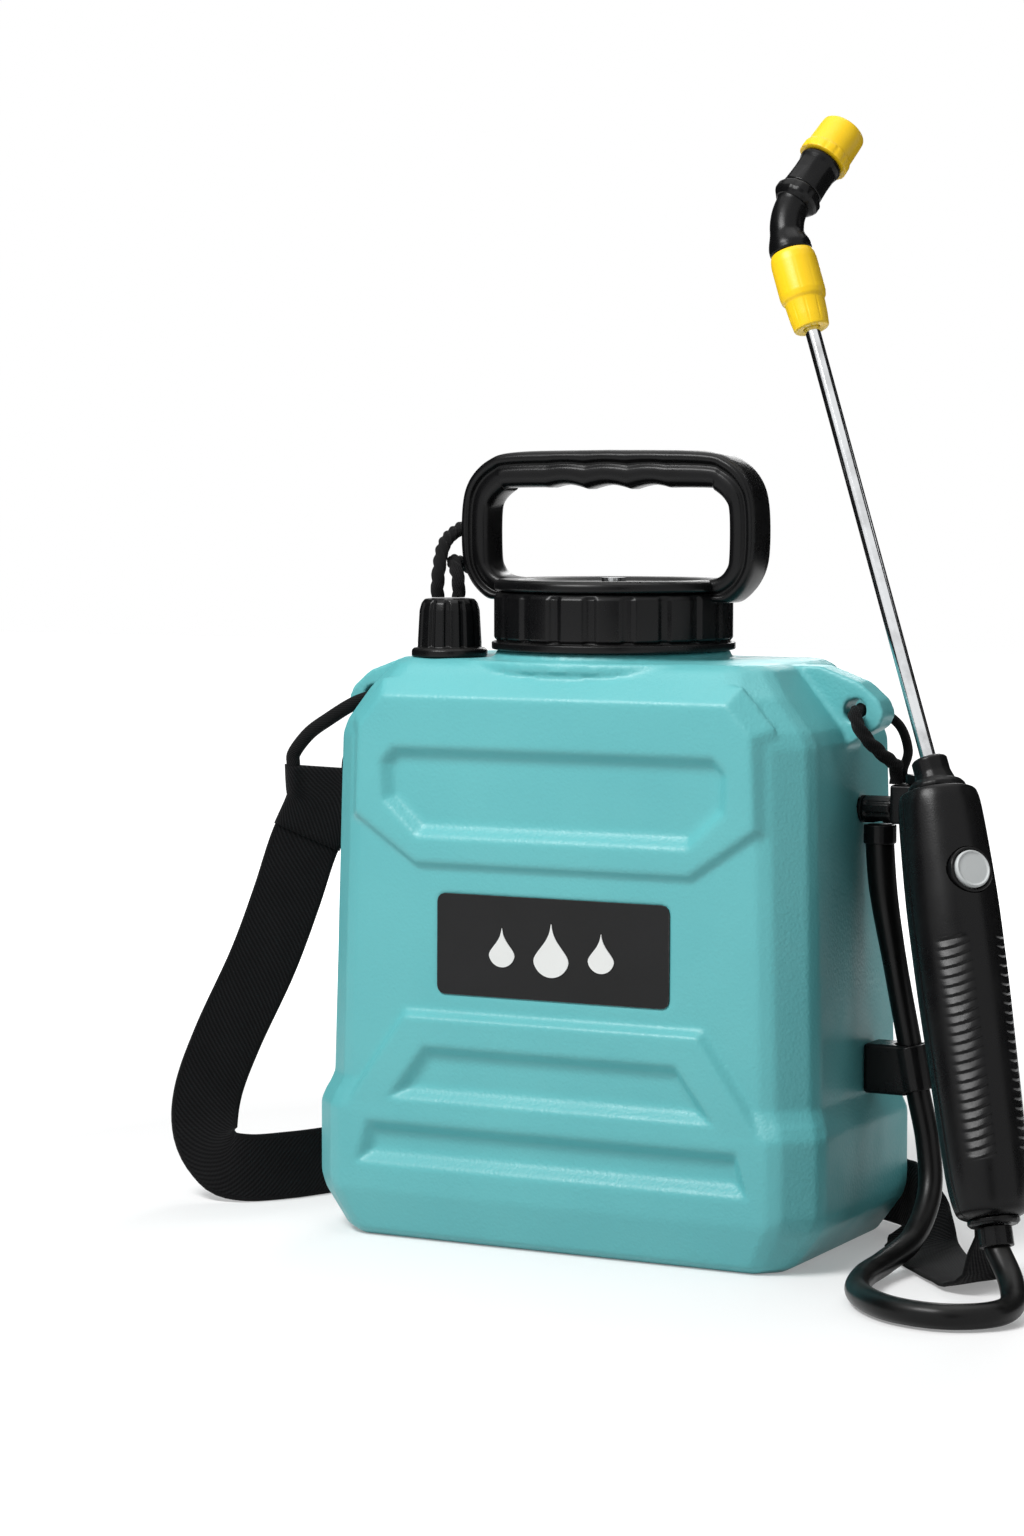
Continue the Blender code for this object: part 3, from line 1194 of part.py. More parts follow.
def make_strap():
    ribbon("left_strap", LEFT_STRAP_ROUTE)
    ribbon("rear_strap", REAR_STRAP_ROUTE)
    face_x = BRACKET_END_X + GAP + STRAP_THICK / 2
    side = (0.0, 1.0, 0.0)
    last = []
    for drop, off in ((0.027, 0.0016), (0.018, 2 * GAP), (0.009, GAP), (STRAP_THICK / 2, GAP)):
        last.append(((face_x + off, OUTLET_Y, BRACKET_TOP - drop), side))
    right = ribbon("right_strap", (*RIGHT_STRAP_ROUTE, *last))
    hole_start = strap_screw_spot() + Vector((BRACKET_LENGTH, 0.0, 0.0))
    hole_end = strap_screw_spot() - Vector((BRACKET_LENGTH, 0.0, 0.0))
    cut(right, round_cutter("strap_hole", STRAP_SCREW_SHANK + GAP, hole_start, hole_end, 12))
    centre, way = LEFT_STRAP_ROUTE[0]
    half = Vector(way).normalized() * (STRAP_WIDTH / 2 - STRAP_CORD_RADIUS)
    top = Vector(centre) + Vector((0.0, 0.0, 2 * GAP))
    hang = Vector((0.0, 0.0, 2.2 * STRAP_CORD_RADIUS))
    route = [top - half, top - half + hang, *STRAP_LOOP_ROUTE, top + half + hang, top + half]
    loop = through(route, 2.2 * STRAP_CORD_RADIUS)
    place(tube("strap_loop", loop, STRAP_CORD_RADIUS, 2), CORD)
    low = BRACKET_TOP + GAP
    route = [*EAR_CORD_ROUTE, *standing(0.1462, 0.0060, low, EAR_CORD_RADIUS)]
    place(tube("ear_cord", through(route, 2.0 * EAR_CORD_RADIUS), EAR_CORD_RADIUS, 2), CORD)
    route = [*HOOK_CORD_ROUTE, *standing(0.1464, 0.0142, low, HOOK_CORD_RADIUS)]
    place(tube("hook_cord", through(route, 2.2 * HOOK_CORD_RADIUS), HOOK_CORD_RADIUS, 2), CORD)


def standing(x, y, z, radius):
    """The last points of a cord that comes straight down onto a face."""
    return [(x, y, z + 2.2 * radius), (x, y, z + 1.1 * radius), (x, y, z)]


def strap_screw_spot():
    return Vector((BRACKET_END_X, OUTLET_Y, OUTLET_Z - BRACKET_DOWN / 2))


# Wand

WAND = frame_at(NOSE_POINT, GRIP_AXIS, BUTTON_FACING)
TUBE = frame_at(NOSE_POINT, TUBE_AXIS, NOZZLE_AXIS)
NOZZLE = frame_at(NOZZLE_BASE, NOZZLE_AXIS, TUBE_AXIS)


def make_grip():
    top = -GAP
    bottom = -GRIP_LENGTH
    outer = (
        (GRIP_NECK_RADIUS, top), (GRIP_NECK_RADIUS * 1.25, top - 0.02 * GRIP_LENGTH),
        (GRIP_BELLY_RADIUS * 0.94, top - 0.10 * GRIP_LENGTH), (GRIP_BELLY_RADIUS, top - 0.28 * GRIP_LENGTH),
        (GRIP_BELLY_RADIUS, top - 0.50 * GRIP_LENGTH), (GRIP_TAIL_RADIUS, top - 0.84 * GRIP_LENGTH),
        (GRIP_TAIL_RADIUS * 0.94, top - 0.94 * GRIP_LENGTH),
        (GRIP_END_RADIUS * 1.3, bottom + 0.012 * GRIP_LENGTH), (GRIP_END_RADIUS, bottom),
    )
    wall = GRIP_WALL
    throat = NOSE_RADIUS + GAP
    mouth = BARB_RADIUS + GAP
    inner = [(r - wall, z) for r, z in outer[1:-2]]
    inner = [(throat, top), (throat, top - 2 * wall), *inner, (mouth, bottom + 2 * wall), (mouth, bottom)]
    profile = [*outer, *reversed(inner)]
    facing = frame_at(NOSE_POINT, GRIP_AXIS, BUTTON_FACING)
    reach = 2 * GRIP_BELLY_RADIUS
    for name, side in (("grip_front_shell", 1.0), ("grip_rear_shell", -1.0)):
        shell = turned(name, profile, 24, facing, looped=True)
        near = side * GAP / 2
        far = -side * reach
        low = Vector((min(near, far), -reach, bottom - reach))
        high = Vector((max(near, far), reach, reach))
        away = block(name + "_half", low, high)
        away.matrix_world = facing
        cut(shell, as_cutter(away))
        if side > 0:
            hole = BUTTON_RING_RADIUS + GAP
            start = facing @ Vector((GRIP_BELLY_RADIUS / 3, 0.0, -BUTTON_DROP))
            end = facing @ Vector((reach, 0.0, -BUTTON_DROP))
            cut(shell, round_cutter("button_hole", hole, start, end, 24))
        else:
            add_screw_holes(shell, facing)
        place(shell, BLACK)


def add_screw_holes(shell, facing):
    reach = 2 * GRIP_BELLY_RADIUS
    for drop in (UPPER_SCREW_DROP, LOWER_SCREW_DROP):
        start = facing @ Vector((-SCREW_RADIUS, 0.0, -drop))
        end = facing @ Vector((-reach, 0.0, -drop))
        cut(shell, round_cutter("screw_hole_%d" % round(drop * 1000), SCREW_RADIUS + GAP, start, end, 14))


def grip_radius(drop):
    """The grip's outside radius this far below the nose, on its main stretch."""
    low = 0.50 * GRIP_LENGTH
    if drop <= low:
        return GRIP_BELLY_RADIUS
    share = (drop - low) / (0.34 * GRIP_LENGTH)
    return GRIP_BELLY_RADIUS + (GRIP_TAIL_RADIUS - GRIP_BELLY_RADIUS) * min(1.0, share)


def make_grip_screws():
    for name, drop in (("grip_screw_upper", UPPER_SCREW_DROP), ("grip_screw_lower", LOWER_SCREW_DROP)):
        surface = grip_radius(drop)
        spot = frame_at(WAND @ Vector((-surface, 0.0, -drop)), -WAND.col[0].to_3d(), GRIP_AXIS)
        sink = -SCREW_HEAD / 2
        tip = -surface + PIPE_RADIUS + SCREW_RADIUS
        profile = (
            (0.0, sink), (SCREW_RADIUS, sink), (SCREW_RADIUS, sink - SCREW_HEAD),
            (SCREW_SHANK, sink - SCREW_HEAD), (SCREW_SHANK, tip), (0.0, tip),
        )
        place(turned(name, profile, 12, spot), STEEL)


def make_nose():
    flange = (
        (0.0, NOSE_FLANGE_THICK), (NOSE_RADIUS + GAP, NOSE_FLANGE_THICK),
        (NOSE_FLANGE_RADIUS * 0.86, NOSE_FLANGE_THICK), (NOSE_FLANGE_RADIUS, NOSE_FLANGE_THICK / 2),
        (NOSE_FLANGE_RADIUS, 0.0), (NOSE_RADIUS, 0.0), (NOSE_RADIUS, -NOSE_PLUG_LENGTH),
        (0.0, -NOSE_PLUG_LENGTH),
    )
    nose = turned("grip_nose", flange, 24, WAND)
    collar = (
        (0.0, NOSE_LENGTH), (NOSE_RADIUS * 0.82, NOSE_LENGTH), (NOSE_RADIUS, NOSE_LENGTH - COLLAR_EDGE),
        (NOSE_RADIUS, NOSE_LENGTH * 0.55), (NOSE_RADIUS * 1.2, NOSE_FLANGE_THICK * 0.6),
        (0.0, NOSE_FLANGE_THICK * 0.6),
    )
    join(nose, as_cutter(turned("nose_collar", collar, 20, TUBE)))
    join(nose, *hook_pieces())
    deep = NOSE_POINT + TUBE_AXIS * (TUBE_START - GAP)
    above = NOSE_POINT + TUBE_AXIS * (NOSE_LENGTH * 1.5)
    below = NOSE_POINT - GRIP_AXIS * (NOSE_PLUG_LENGTH * 1.5)
    cut(nose, round_cutter("tube_socket", TUBE_RADIUS + GAP, deep, above, 20))
    through_bore = TUBE_RADIUS * 0.62
    cut(nose, round_cutter("nose_bore", through_bore, below, NOSE_POINT + TUBE_AXIS * NOSE_SOCKET, 12))
    place(nose, BLACK)


def hook_pieces():
    """The moulded arm and tongue that hang the wand in the bracket's pocket."""
    low = BRACKET_TOP + GAP
    tip = Vector((POCKET_X, OUTLET_Y, low))
    root = Vector((NOSE_POINT.x, NOSE_POINT.y, low))
    run = root - tip
    arm = block(
        "hook_arm", (-HOOK_THICK / 2, -HOOK_ARM_WIDTH / 2, 0.0),
        (run.length - NOSE_RADIUS / 2, HOOK_ARM_WIDTH / 2, HOOK_ARM_THICK),
    )
    arm.matrix_world = frame_at(tip, (0.0, 0.0, 1.0), run)
    half = HOOK_THICK / 2
    wide = POCKET_WIDTH / 2 - 2 * GAP
    tongue = block(
        "hook_tongue", (POCKET_X - half, OUTLET_Y - wide, BRACKET_TOP - POCKET_DEPTH + 2 * GAP),
        (POCKET_X + half, OUTLET_Y + wide, low + HOOK_ARM_THICK - GAP),
    )
    return as_cutter(arm), as_cutter(tongue)


def make_button():
    face = GRIP_BELLY_RADIUS * 0.985
    out = frame_at(WAND @ Vector((0.0, 0.0, -BUTTON_DROP)), WAND.col[0].to_3d(), GRIP_AXIS)
    top = face + BUTTON_PROUD
    under = top - BUTTON_THICK
    edge = BUTTON_PROUD / 3
    button = (
        (0.0, top), (BUTTON_RADIUS - edge, top), (BUTTON_RADIUS, top - edge),
        (BUTTON_RADIUS, under), (0.0, under),
    )
    place(turned("spray_button", button, 24, out), GREY)
    bezel_top = face + BUTTON_RING_PROUD
    bezel = ring_profile(BUTTON_RADIUS + RUNNING_GAP, BUTTON_RING_RADIUS, face - BUTTON_THICK, bezel_top)
    place(turned("button_ring", bezel, 24, out, looped=True), BLACK)
    make_valve(out, under)


def make_valve(out, under):
    half = VALVE_LENGTH / 2
    mid = Matrix.Translation((0.0, 0.0, -BUTTON_DROP))
    upright = WAND @ mid
    body = turned("valve_body", disc_profile(VALVE_RADIUS, -half, half), 20, upright)
    bore = VALVE_PIN_RADIUS + RUNNING_GAP
    deep = out @ Vector((0.0, 0.0, -VALVE_PIN_DEPTH))
    outside = out @ Vector((0.0, 0.0, 2 * VALVE_RADIUS))
    cut(body, round_cutter("pin_bore", bore, deep, outside, 16))
    seat = VALVE_RADIUS - 2 * SEAL_WIRE
    seat_start = out @ Vector((0.0, 0.0, seat))
    cut(body, round_cutter("seal_seat", SPRING_RADIUS + 3 * SPRING_WIRE, seat_start, outside, 20))
    place(body, NATURAL)
    pin_bottom = -VALVE_PIN_DEPTH + 0.0040
    pin = disc_profile(VALVE_PIN_RADIUS, pin_bottom, under - GAP)
    place(turned("valve_pin", pin, 14, out), STEEL)
    seal_low = seat + GAP
    seal = ring_profile(bore, SPRING_RADIUS + SPRING_WIRE, seal_low, seal_low + SEAL_WIRE)
    place(turned("valve_seal", seal, 16, out, looped=True), RUBBER)
    make_spring(out, seal_low + SEAL_WIRE + GAP, under - GAP)
    make_pipes(half)


def make_spring(out, low, high):
    points = []
    count = SPRING_TURNS * 9
    low += SPRING_WIRE
    high -= SPRING_WIRE
    for i in range(count + 1):
        angle = math.tau * SPRING_TURNS * i / count
        rise = low + (high - low) * i / count
        spot = Vector((SPRING_RADIUS * math.cos(angle), SPRING_RADIUS * math.sin(angle), rise))
        points.append(out @ spot)
    place(tube("button_spring", points, SPRING_WIRE, 1), STEEL)
    gap = (high - low) / SPRING_TURNS - 2 * SPRING_WIRE
    print("button spring, gap between turns in mm:", round(1000 * gap, 2))


def make_pipes(valve_half):
    barb_top = -GRIP_LENGTH + BARB_LENGTH
    feed = [Vector((0.0, 0.0, barb_top + GAP)), Vector((0.0, 0.0, -BUTTON_DROP - valve_half - GAP))]
    place(tube("feed_pipe", [WAND @ p for p in feed], PIPE_RADIUS, 2), NATURAL)
    rise = [Vector((0.0, 0.0, -BUTTON_DROP + valve_half + GAP)), Vector((0.0, 0.0, -NOSE_PLUG_LENGTH - GAP))]
    place(tube("delivery_pipe", [WAND @ p for p in rise], PIPE_RADIUS, 2), NATURAL)
    flange_top = -GRIP_LENGTH - GAP
    flange_low = flange_top - BARB_FLANGE_THICK
    barb = (
        (0.0, barb_top), (BARB_RADIUS, barb_top), (BARB_RADIUS, flange_top), (GRIP_END_RADIUS, flange_top),
        (GRIP_END_RADIUS, flange_low + COLLAR_EDGE), (GRIP_END_RADIUS - COLLAR_EDGE, flange_low),
        (0.0, flange_low),
    )
    place(turned("hose_barb", barb, 24, WAND), BLACK)


def make_tube_and_nut():
    start = TUBE_START
    top = NUT_TOP - GAP
    bore = TUBE_RADIUS * 0.7
    pipe = ring_profile(bore, TUBE_RADIUS, start, top)
    place(turned("wand_tube", pipe, 20, TUBE, looped=True), STEEL)
    low = NUT_TOP - NUT_LENGTH
    hole = TUBE_RADIUS + GAP
    seat = hole + 2 * SEAL_WIRE + GAP
    waist = low + NUT_LOW_LENGTH
    nut = (
        (seat, NUT_TOP), (NUT_TOP_RADIUS, NUT_TOP), (NUT_RADIUS, NUT_TOP - 3 * COLLAR_EDGE),
        (NUT_RADIUS, waist + COLLAR_EDGE), (NUT_LOW_RADIUS, waist), (NUT_LOW_RADIUS * 0.88, low), (hole, low),
        (hole, NUT_TOP - 2 * SEAL_WIRE - 2 * GAP), (seat, NUT_TOP - 2 * SEAL_WIRE - 2 * GAP),
    )
    place(turned("tube_nut", nut, 24, TUBE, looped=True), YELLOW)
    ring = ring_profile(hole, seat - GAP, NUT_TOP - 2 * SEAL_WIRE - GAP, NUT_TOP - GAP)
    place(turned("tube_seal", ring, 20, TUBE, looped=True), RUBBER)


def make_spray_head():
    reach = ELBOW_REACH
    flange = COLLAR_EDGE * 3
    end = NOZZLE_BASE - NOZZLE_AXIS * GAP
    points = [ELBOW_START, ELBOW_START + TUBE_AXIS * flange, ELBOW_START + TUBE_AXIS * (flange + GAP)]
    radii = [ELBOW_FLANGE_RADIUS, ELBOW_FLANGE_RADIUS, ELBOW_RADIUS]
    near = ELBOW_START + TUBE_AXIS * (flange + COLLAR_EDGE)
    far = end - NOZZLE_AXIS * (flange + COLLAR_EDGE)
    for i in range(7):
        t = i / 6
        points.append(near * (1 - t) ** 2 + ELBOW_CORNER * (2 * t * (1 - t)) + far * t * t)
        radii.append(ELBOW_RADIUS)
    points += [end - NOZZLE_AXIS * (flange + GAP), end - NOZZLE_AXIS * flange, end]
    radii += [ELBOW_RADIUS, ELBOW_END_RADIUS, ELBOW_END_RADIUS]
    place(tube("spray_elbow", points, reach, 3, radii), BLACK)
    top = NOZZLE_LENGTH
    tip = top + SPIGOT_LENGTH
    groove = tip - 3 * SEAL_WIRE
    body = (
        (0.0, tip), (SPIGOT_RADIUS, tip), (SPIGOT_RADIUS, groove + SEAL_WIRE),
        (SPIGOT_RADIUS - SEAL_WIRE, groove + SEAL_WIRE), (SPIGOT_RADIUS - SEAL_WIRE, groove - SEAL_WIRE),
        (SPIGOT_RADIUS, groove - SEAL_WIRE), (SPIGOT_RADIUS, top), (NOZZLE_RADIUS, top),
        (NOZZLE_RADIUS, COLLAR_EDGE), (NOZZLE_RADIUS - COLLAR_EDGE, 0.0), (0.0, 0.0),
    )
    place(turned("nozzle_body", body, 24, NOZZLE), BLACK)
    half = SEAL_WIRE - GAP
    ring = ring_profile(SPIGOT_RADIUS - half, SPIGOT_RADIUS, groove - half, groove + half)
    place(turned("nozzle_seal", ring, 20, NOZZLE, looped=True), RUBBER)
    make_nozzle_cap(top + GAP, tip)


def make_nozzle_cap(low, spigot_tip):
    top = low + CAP_LENGTH
    bore = SPIGOT_RADIUS + RUNNING_GAP
    roof = top - CAP_ROOF
    lip = low + CAP_LIP_LENGTH
    cap = (
        (CAP_HOLE_RADIUS, top - CAP_ROOF / 2), (CAP_END_RADIUS * 0.5, top - CAP_ROOF / 3),
        (CAP_END_RADIUS * 0.72, top), (CAP_END_RADIUS - COLLAR_EDGE / 2, top),
        (CAP_END_RADIUS, top - COLLAR_EDGE), (CAP_RADIUS, lip + COLLAR_EDGE), (CAP_LIP_RADIUS, lip),
        (CAP_LIP_RADIUS, low), (bore, low), (bore, roof), (CAP_HOLE_RADIUS, roof),
    )
    place(turned("nozzle_cap", cap, 28, NOZZLE, looped=True), YELLOW)
    start = spigot_tip + GAP
    end = min(start + INSERT_LENGTH, roof - GAP)
    insert = disc_profile(INSERT_RADIUS, start, end)
    place(turned("swirl_insert", insert, 16, NOZZLE), NATURAL)


def make_strap_screw():
    spot = frame_at(strap_screw_spot(), (1.0, 0.0, 0.0), (0.0, 0.0, 1.0))
    face = STRAP_THICK + 4 * GAP
    top = face + STRAP_SCREW_HEAD
    tip = -POCKET_WALL
    profile = (
        (0.0, top), (STRAP_SCREW_RADIUS * 0.7, top), (STRAP_SCREW_RADIUS, face + STRAP_SCREW_HEAD / 2),
        (STRAP_SCREW_RADIUS, face), (STRAP_SCREW_SHANK, face), (STRAP_SCREW_SHANK, tip), (0.0, tip),
    )
    place(turned("strap_screw", profile, 14, spot), STEEL)


make_tank()
make_label()
make_collar()
make_pump()
make_plunger()
make_relief()
make_outlet()
make_hose()
make_strap()
make_strap_screw()
make_grip()
make_grip_screws()
make_nose()
make_button()
make_tube_and_nut()
make_spray_head()
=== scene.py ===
"""The dressed pump sprayer: moulded teal tank, ribbed collar and grip handle,
cords, webbing strap, hose and the hanging spray wand, in a white studio.
"""

import json
import math

import bmesh
import bpy
from mathutils import Matrix, Vector


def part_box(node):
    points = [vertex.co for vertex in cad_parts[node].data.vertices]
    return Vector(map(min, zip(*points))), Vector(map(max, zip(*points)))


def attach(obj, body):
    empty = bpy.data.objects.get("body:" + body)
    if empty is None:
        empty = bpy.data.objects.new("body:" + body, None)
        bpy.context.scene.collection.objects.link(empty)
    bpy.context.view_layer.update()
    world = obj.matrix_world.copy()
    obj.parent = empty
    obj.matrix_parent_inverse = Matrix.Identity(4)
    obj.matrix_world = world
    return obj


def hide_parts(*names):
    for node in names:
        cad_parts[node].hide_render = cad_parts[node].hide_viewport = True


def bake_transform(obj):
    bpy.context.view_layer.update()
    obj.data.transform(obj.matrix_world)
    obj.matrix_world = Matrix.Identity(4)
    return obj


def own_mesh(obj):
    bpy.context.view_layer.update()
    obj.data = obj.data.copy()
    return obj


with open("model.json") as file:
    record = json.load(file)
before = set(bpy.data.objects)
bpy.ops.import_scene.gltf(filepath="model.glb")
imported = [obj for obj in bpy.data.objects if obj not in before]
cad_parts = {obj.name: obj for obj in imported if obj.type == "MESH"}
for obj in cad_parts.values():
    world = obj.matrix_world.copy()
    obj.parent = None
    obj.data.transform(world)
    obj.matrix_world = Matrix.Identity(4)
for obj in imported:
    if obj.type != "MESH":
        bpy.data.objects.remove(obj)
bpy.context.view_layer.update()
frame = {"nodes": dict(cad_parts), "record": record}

# Camera, as the photograph was taken
CAMERA_PLACE = Vector((0.795, -1.628, 0.368))
CAMERA_TURN = math.radians(27.6)
CAMERA_DIP = math.radians(4.37)
CAMERA_LENS = 86.72

# Sizes shared with the solids, in metres; AXIS is the least radius of a turned shape
GAP = 0.0003
AXIS = 0.00005
HOSE_RADIUS = 0.0058
HOSE_STRETCH = 0.0011
LOOP_OUTER = 0.0035
STRAP_CORD_RADIUS = 0.0035
EAR_CORD_RADIUS = 0.0034
HOOK_CORD_RADIUS = 0.0023
STRAP_WIDTH = 0.035
STRAP_THICK = 0.0022
BRACKET_TOP = 0.2265
BRACKET_END_X = 0.15722
OUTLET_Y = 0.01

# Pump top
COLLAR_BOTTOM = 0.2883
COLLAR_TOP = 0.3165
COLLAR_RADIUS = 0.0585
COLLAR_FLANGE_RADIUS = 0.0597
COLLAR_BORE = 0.0529
COLLAR_LIP_RADIUS = 0.0465
COLLAR_PADS = 20
BASE_BOTTOM = 0.3168
BASE_TOP = 0.3224
HANDLE_TOP = 0.3848
HANDLE_HALF = 0.0795
HANDLE_POST = 0.015
HANDLE_BAR = 0.018
HANDLE_DEPTH = 0.022
HANDLE_CORNER = 0.026
ARM_INNER = 0.06
ARM_DROP = 0.0052
SCALLOPS = 3
SCALLOP_DEPTH = 0.0022
SCALLOP_SPAN = 0.07

# Relief cap
RELIEF_PLACE = Vector((-0.075, -0.03, 0.0))
RELIEF_BOTTOM = 0.2843
RELIEF_TOP = 0.3128
RELIEF_RIBS = 12

# Wand
NOSE_POINT = Vector((0.1772, -0.02, 0.2262))
GRIP_AXIS = Vector((-0.26, 0.28, 1.0)).normalized()
TUBE_AXIS = Vector((-0.381, 0.196, 1.0)).normalized()
NOZZLE_AXIS = Vector((0.383, 0.802, 1.0)).normalized()
BUTTON_FACING = Vector((0.772, -0.635, 0.0))
GRIP_LENGTH = 0.2
BUTTON_DROP = 0.043
BUTTON_RADIUS = 0.0088
TUBE_RADIUS = 0.0037
TUBE_START = 0.0065
TUBE_END = 0.2755
ELBOW_REACH = 0.018


def frame_at(origin, z_axis, x_hint):
    """A frame at origin whose Z runs along z_axis and whose X leans to x_hint."""
    z = Vector(z_axis).normalized()
    x = Vector(x_hint)
    x = (x - z * x.dot(z)).normalized()
    turn = Matrix((x, z.cross(x), z)).transposed().to_4x4()
    return Matrix.Translation(origin) @ turn


def metres(*spots):
    """Points that are given in millimetres."""
    return [Vector([v / 1000 for v in spot]) for spot in spots]


WAND = frame_at(NOSE_POINT, GRIP_AXIS, BUTTON_FACING)
TUBE = frame_at(NOSE_POINT, TUBE_AXIS, NOZZLE_AXIS)
ELBOW_START = NOSE_POINT + TUBE_AXIS * (TUBE_END + GAP)
ELBOW_CORNER = ELBOW_START + TUBE_AXIS * ELBOW_REACH
NOZZLE_BASE = ELBOW_CORNER + NOZZLE_AXIS * (ELBOW_REACH + GAP)
NOZZLE = frame_at(NOZZLE_BASE, NOZZLE_AXIS, TUBE_AXIS)
BUTTON = frame_at(WAND @ Vector((0.0, 0.0, -BUTTON_DROP)), WAND.col[0].to_3d(), GRIP_AXIS)
GRIP_BOTTOM = NOSE_POINT - GRIP_AXIS * (GRIP_LENGTH + GAP)

# Routes of the hose and the cords, in millimetres where metres() takes them
HOSE_TOP = Vector((0.13667, 0.01, 0.2071))
HOSE_END = GRIP_BOTTOM - GRIP_AXIS * (0.003 + GAP)
HOSE_LEAD = 1.8 * HOSE_RADIUS
HOSE_ROUTE = (
    *(HOSE_TOP - Vector((0.0, 0.0, HOSE_LEAD * share)) for share in (0.0, 0.5, 1.0)),
    *metres(
        (138.8, 10.6, 172), (145.2, 11.8, 135), (151.5, 12.5, 103), (156, 12.5, 80),
        (162, 10.5, 56), (166.5, 2, 33), (166, -18, 15), (162.2, -44, 8), (163, -72, 6.5),
        (173.5, -103, 6.4), (196, -125.5, 6.4), (222, -131, 6.4), (241, -119, 6.4),
        (245.2, -101, 7.6), (239.5, -86.5, 15),
    ),
    *(HOSE_END - GRIP_AXIS * (HOSE_LEAD * share) for share in (1.0, 0.5, 0.0)),
)
CAP_LOOP_ROUTE = metres(
    (-80.7, -31.9, 313.1), (-80.7, -31.9, 316.6), (-80.7, -31.9, 320.1), (-81.4, -29.2, 327),
    (-83.8, -21.8, 335.5), (-86.2, -11.5, 341.5), (-87.6, 1.5, 345.5), (-87.6, 13, 348.2),
    (-86.6, 22.5, 348.2), (-85.2, 29.5, 343.2), (-84.3, 31, 335.2), (-84, 26.8, 327.8),
    (-83.9, 18.8, 325), (-84, 10, 326.5), (-84.2, 0.5, 329), (-83.6, -9, 330.5),
    (-79, -18, 329.2), (-74.2, -24, 325), (-72.15, -26.01, 320.1), (-72.15, -26.01, 316.6),
    (-72.15, -26.01, 313.1),
)
STRAP_LOOP_ROUTE = metres(
    (-169.408, -22.484, 219.6), (-169.408, -22.484, 227.3), (-169, -22, 233), (-161, -20.5, 243),
    (-149, -20, 251), (-138, -17, 258), (-131.2, -9, 261.6), (-130.5, 0, 262), (-131.2, 9, 261.6),
    (-137, 16, 256.5), (-142.5, 14, 248), (-144.7, 3, 240), (-144.7, -6.5, 232),
    (-144.592, -9.516, 227.3), (-144.592, -9.516, 219.6),
)
CORD_FOOT = BRACKET_TOP + GAP


def cord_foot(x, y, radius):
    """The straight end of a cord that stands on the hanging block."""
    return [Vector((x, y, CORD_FOOT + share * radius)) for share in (2.2, 1.1, 0.0)]


EAR_CORD_ROUTE = (
    *metres(
        (130.5, 1, 262), (132.5, -12.5, 260), (138, -14.5, 251), (143.5, -6, 242),
        (146.6, 4.5, 236),
    ),
    *cord_foot(0.1462, 0.006, EAR_CORD_RADIUS),
)
HOOK_CORD_ROUTE = (
    *metres(
        (130.5, 7, 262), (135, 16.5, 260), (143, 19.5, 253), (147.5, 18, 242), (146.6, 14.6, 234),
    ),
    *cord_foot(0.1464, 0.0142, HOOK_CORD_RADIUS),
)

# Strap stations: the centre, and the way that the width points
LEFT_WAY = (0.886, 0.463, 0.0)
RIGHT_WAY = (-0.463, 0.886, 0.0)
ON_EDGE = (0.0, 0.0, 1.0)
STRAP_FACE_X = BRACKET_END_X + GAP + STRAP_THICK / 2
STRAP_RUN = (
    ((-157, -16, 219), LEFT_WAY), ((-157, -16, 207), LEFT_WAY), ((-166, -19, 185), LEFT_WAY),
    ((-175, -21, 158), LEFT_WAY), ((-188, -23, 125), (0.886, 0.463, 0.02)),
    ((-208, -25, 85), (0.886, 0.443, 0.1)), ((-220, -25, 56), (0.85, 0.4, 0.3)),
    ((-221, -26, 34), (0.6, 0.25, 0.75)), ((-211, -28, 21.5), (0.25, 0.08, 0.96)),
    ((-197, -24, 18.2), (0.05, 0, 1)), ((-182, -6, 18), ON_EDGE), ((-171.8, 15.4, 18), ON_EDGE),
    ((-154, 56, 18), ON_EDGE), ((-115, 87, 18), ON_EDGE), ((-50, 93, 18), ON_EDGE),
    ((20, 93, 18), ON_EDGE), ((90, 91.5, 18), ON_EDGE), ((118, 79, 18), ON_EDGE),
    ((130, 67, 18), ON_EDGE), ((139, 54.8, 18), (0.08, 0.05, 1)),
    ((148, 36, 10.5), (0.7, 0.42, 0.55)), ((158, 15, 4), (0.77, 0.6, 0.12)),
    ((172, -5, 2.6), (0.74, 0.67, 0.02)), ((187, -22.5, 2.4), (0.74, 0.67, 0)),
    ((198.5, -35, 2.7), (0.72, 0.69, 0)), ((207.5, -44.5, 4.4), (0.6, 0.8, 0.04)),
    ((213, -47.5, 11), (0.25, 0.96, 0.06)), ((212, -43.5, 23), (-0.15, 0.98, 0.04)),
    ((203.2, -31.5, 48), RIGHT_WAY), ((196.2, -24.6, 80), RIGHT_WAY),
    ((184.1, -11.1, 125), RIGHT_WAY), ((171.9, 2, 172), (-0.4, 0.91, 0)),
    ((163.6, 9.2, 189), (-0.05, 1, 0)),
)
STRAP_ROUTE = [(*metres(centre), way) for centre, way in STRAP_RUN]
STRAP_ROUTE += [
    ((STRAP_FACE_X + off, OUTLET_Y, BRACKET_TOP - drop), (0.0, 1.0, 0.0))
    for off, drop in ((0.0016, 0.027), (2 * GAP, 0.018), (GAP, 0.009), (GAP, STRAP_THICK / 2))
]


# Shapes

def smooth_step(low, high, x):
    """0 below low, 1 above high, and an even ramp between them."""
    t = min(1.0, max(0.0, (x - low) / (high - low)))
    return t * t * (3.0 - 2.0 * t)


def between(start, full, fade, end, x):
    """1 from full to fade, and 0 before start and after end."""
    return smooth_step(start, full, x) * (1.0 - smooth_step(fade, end, x))


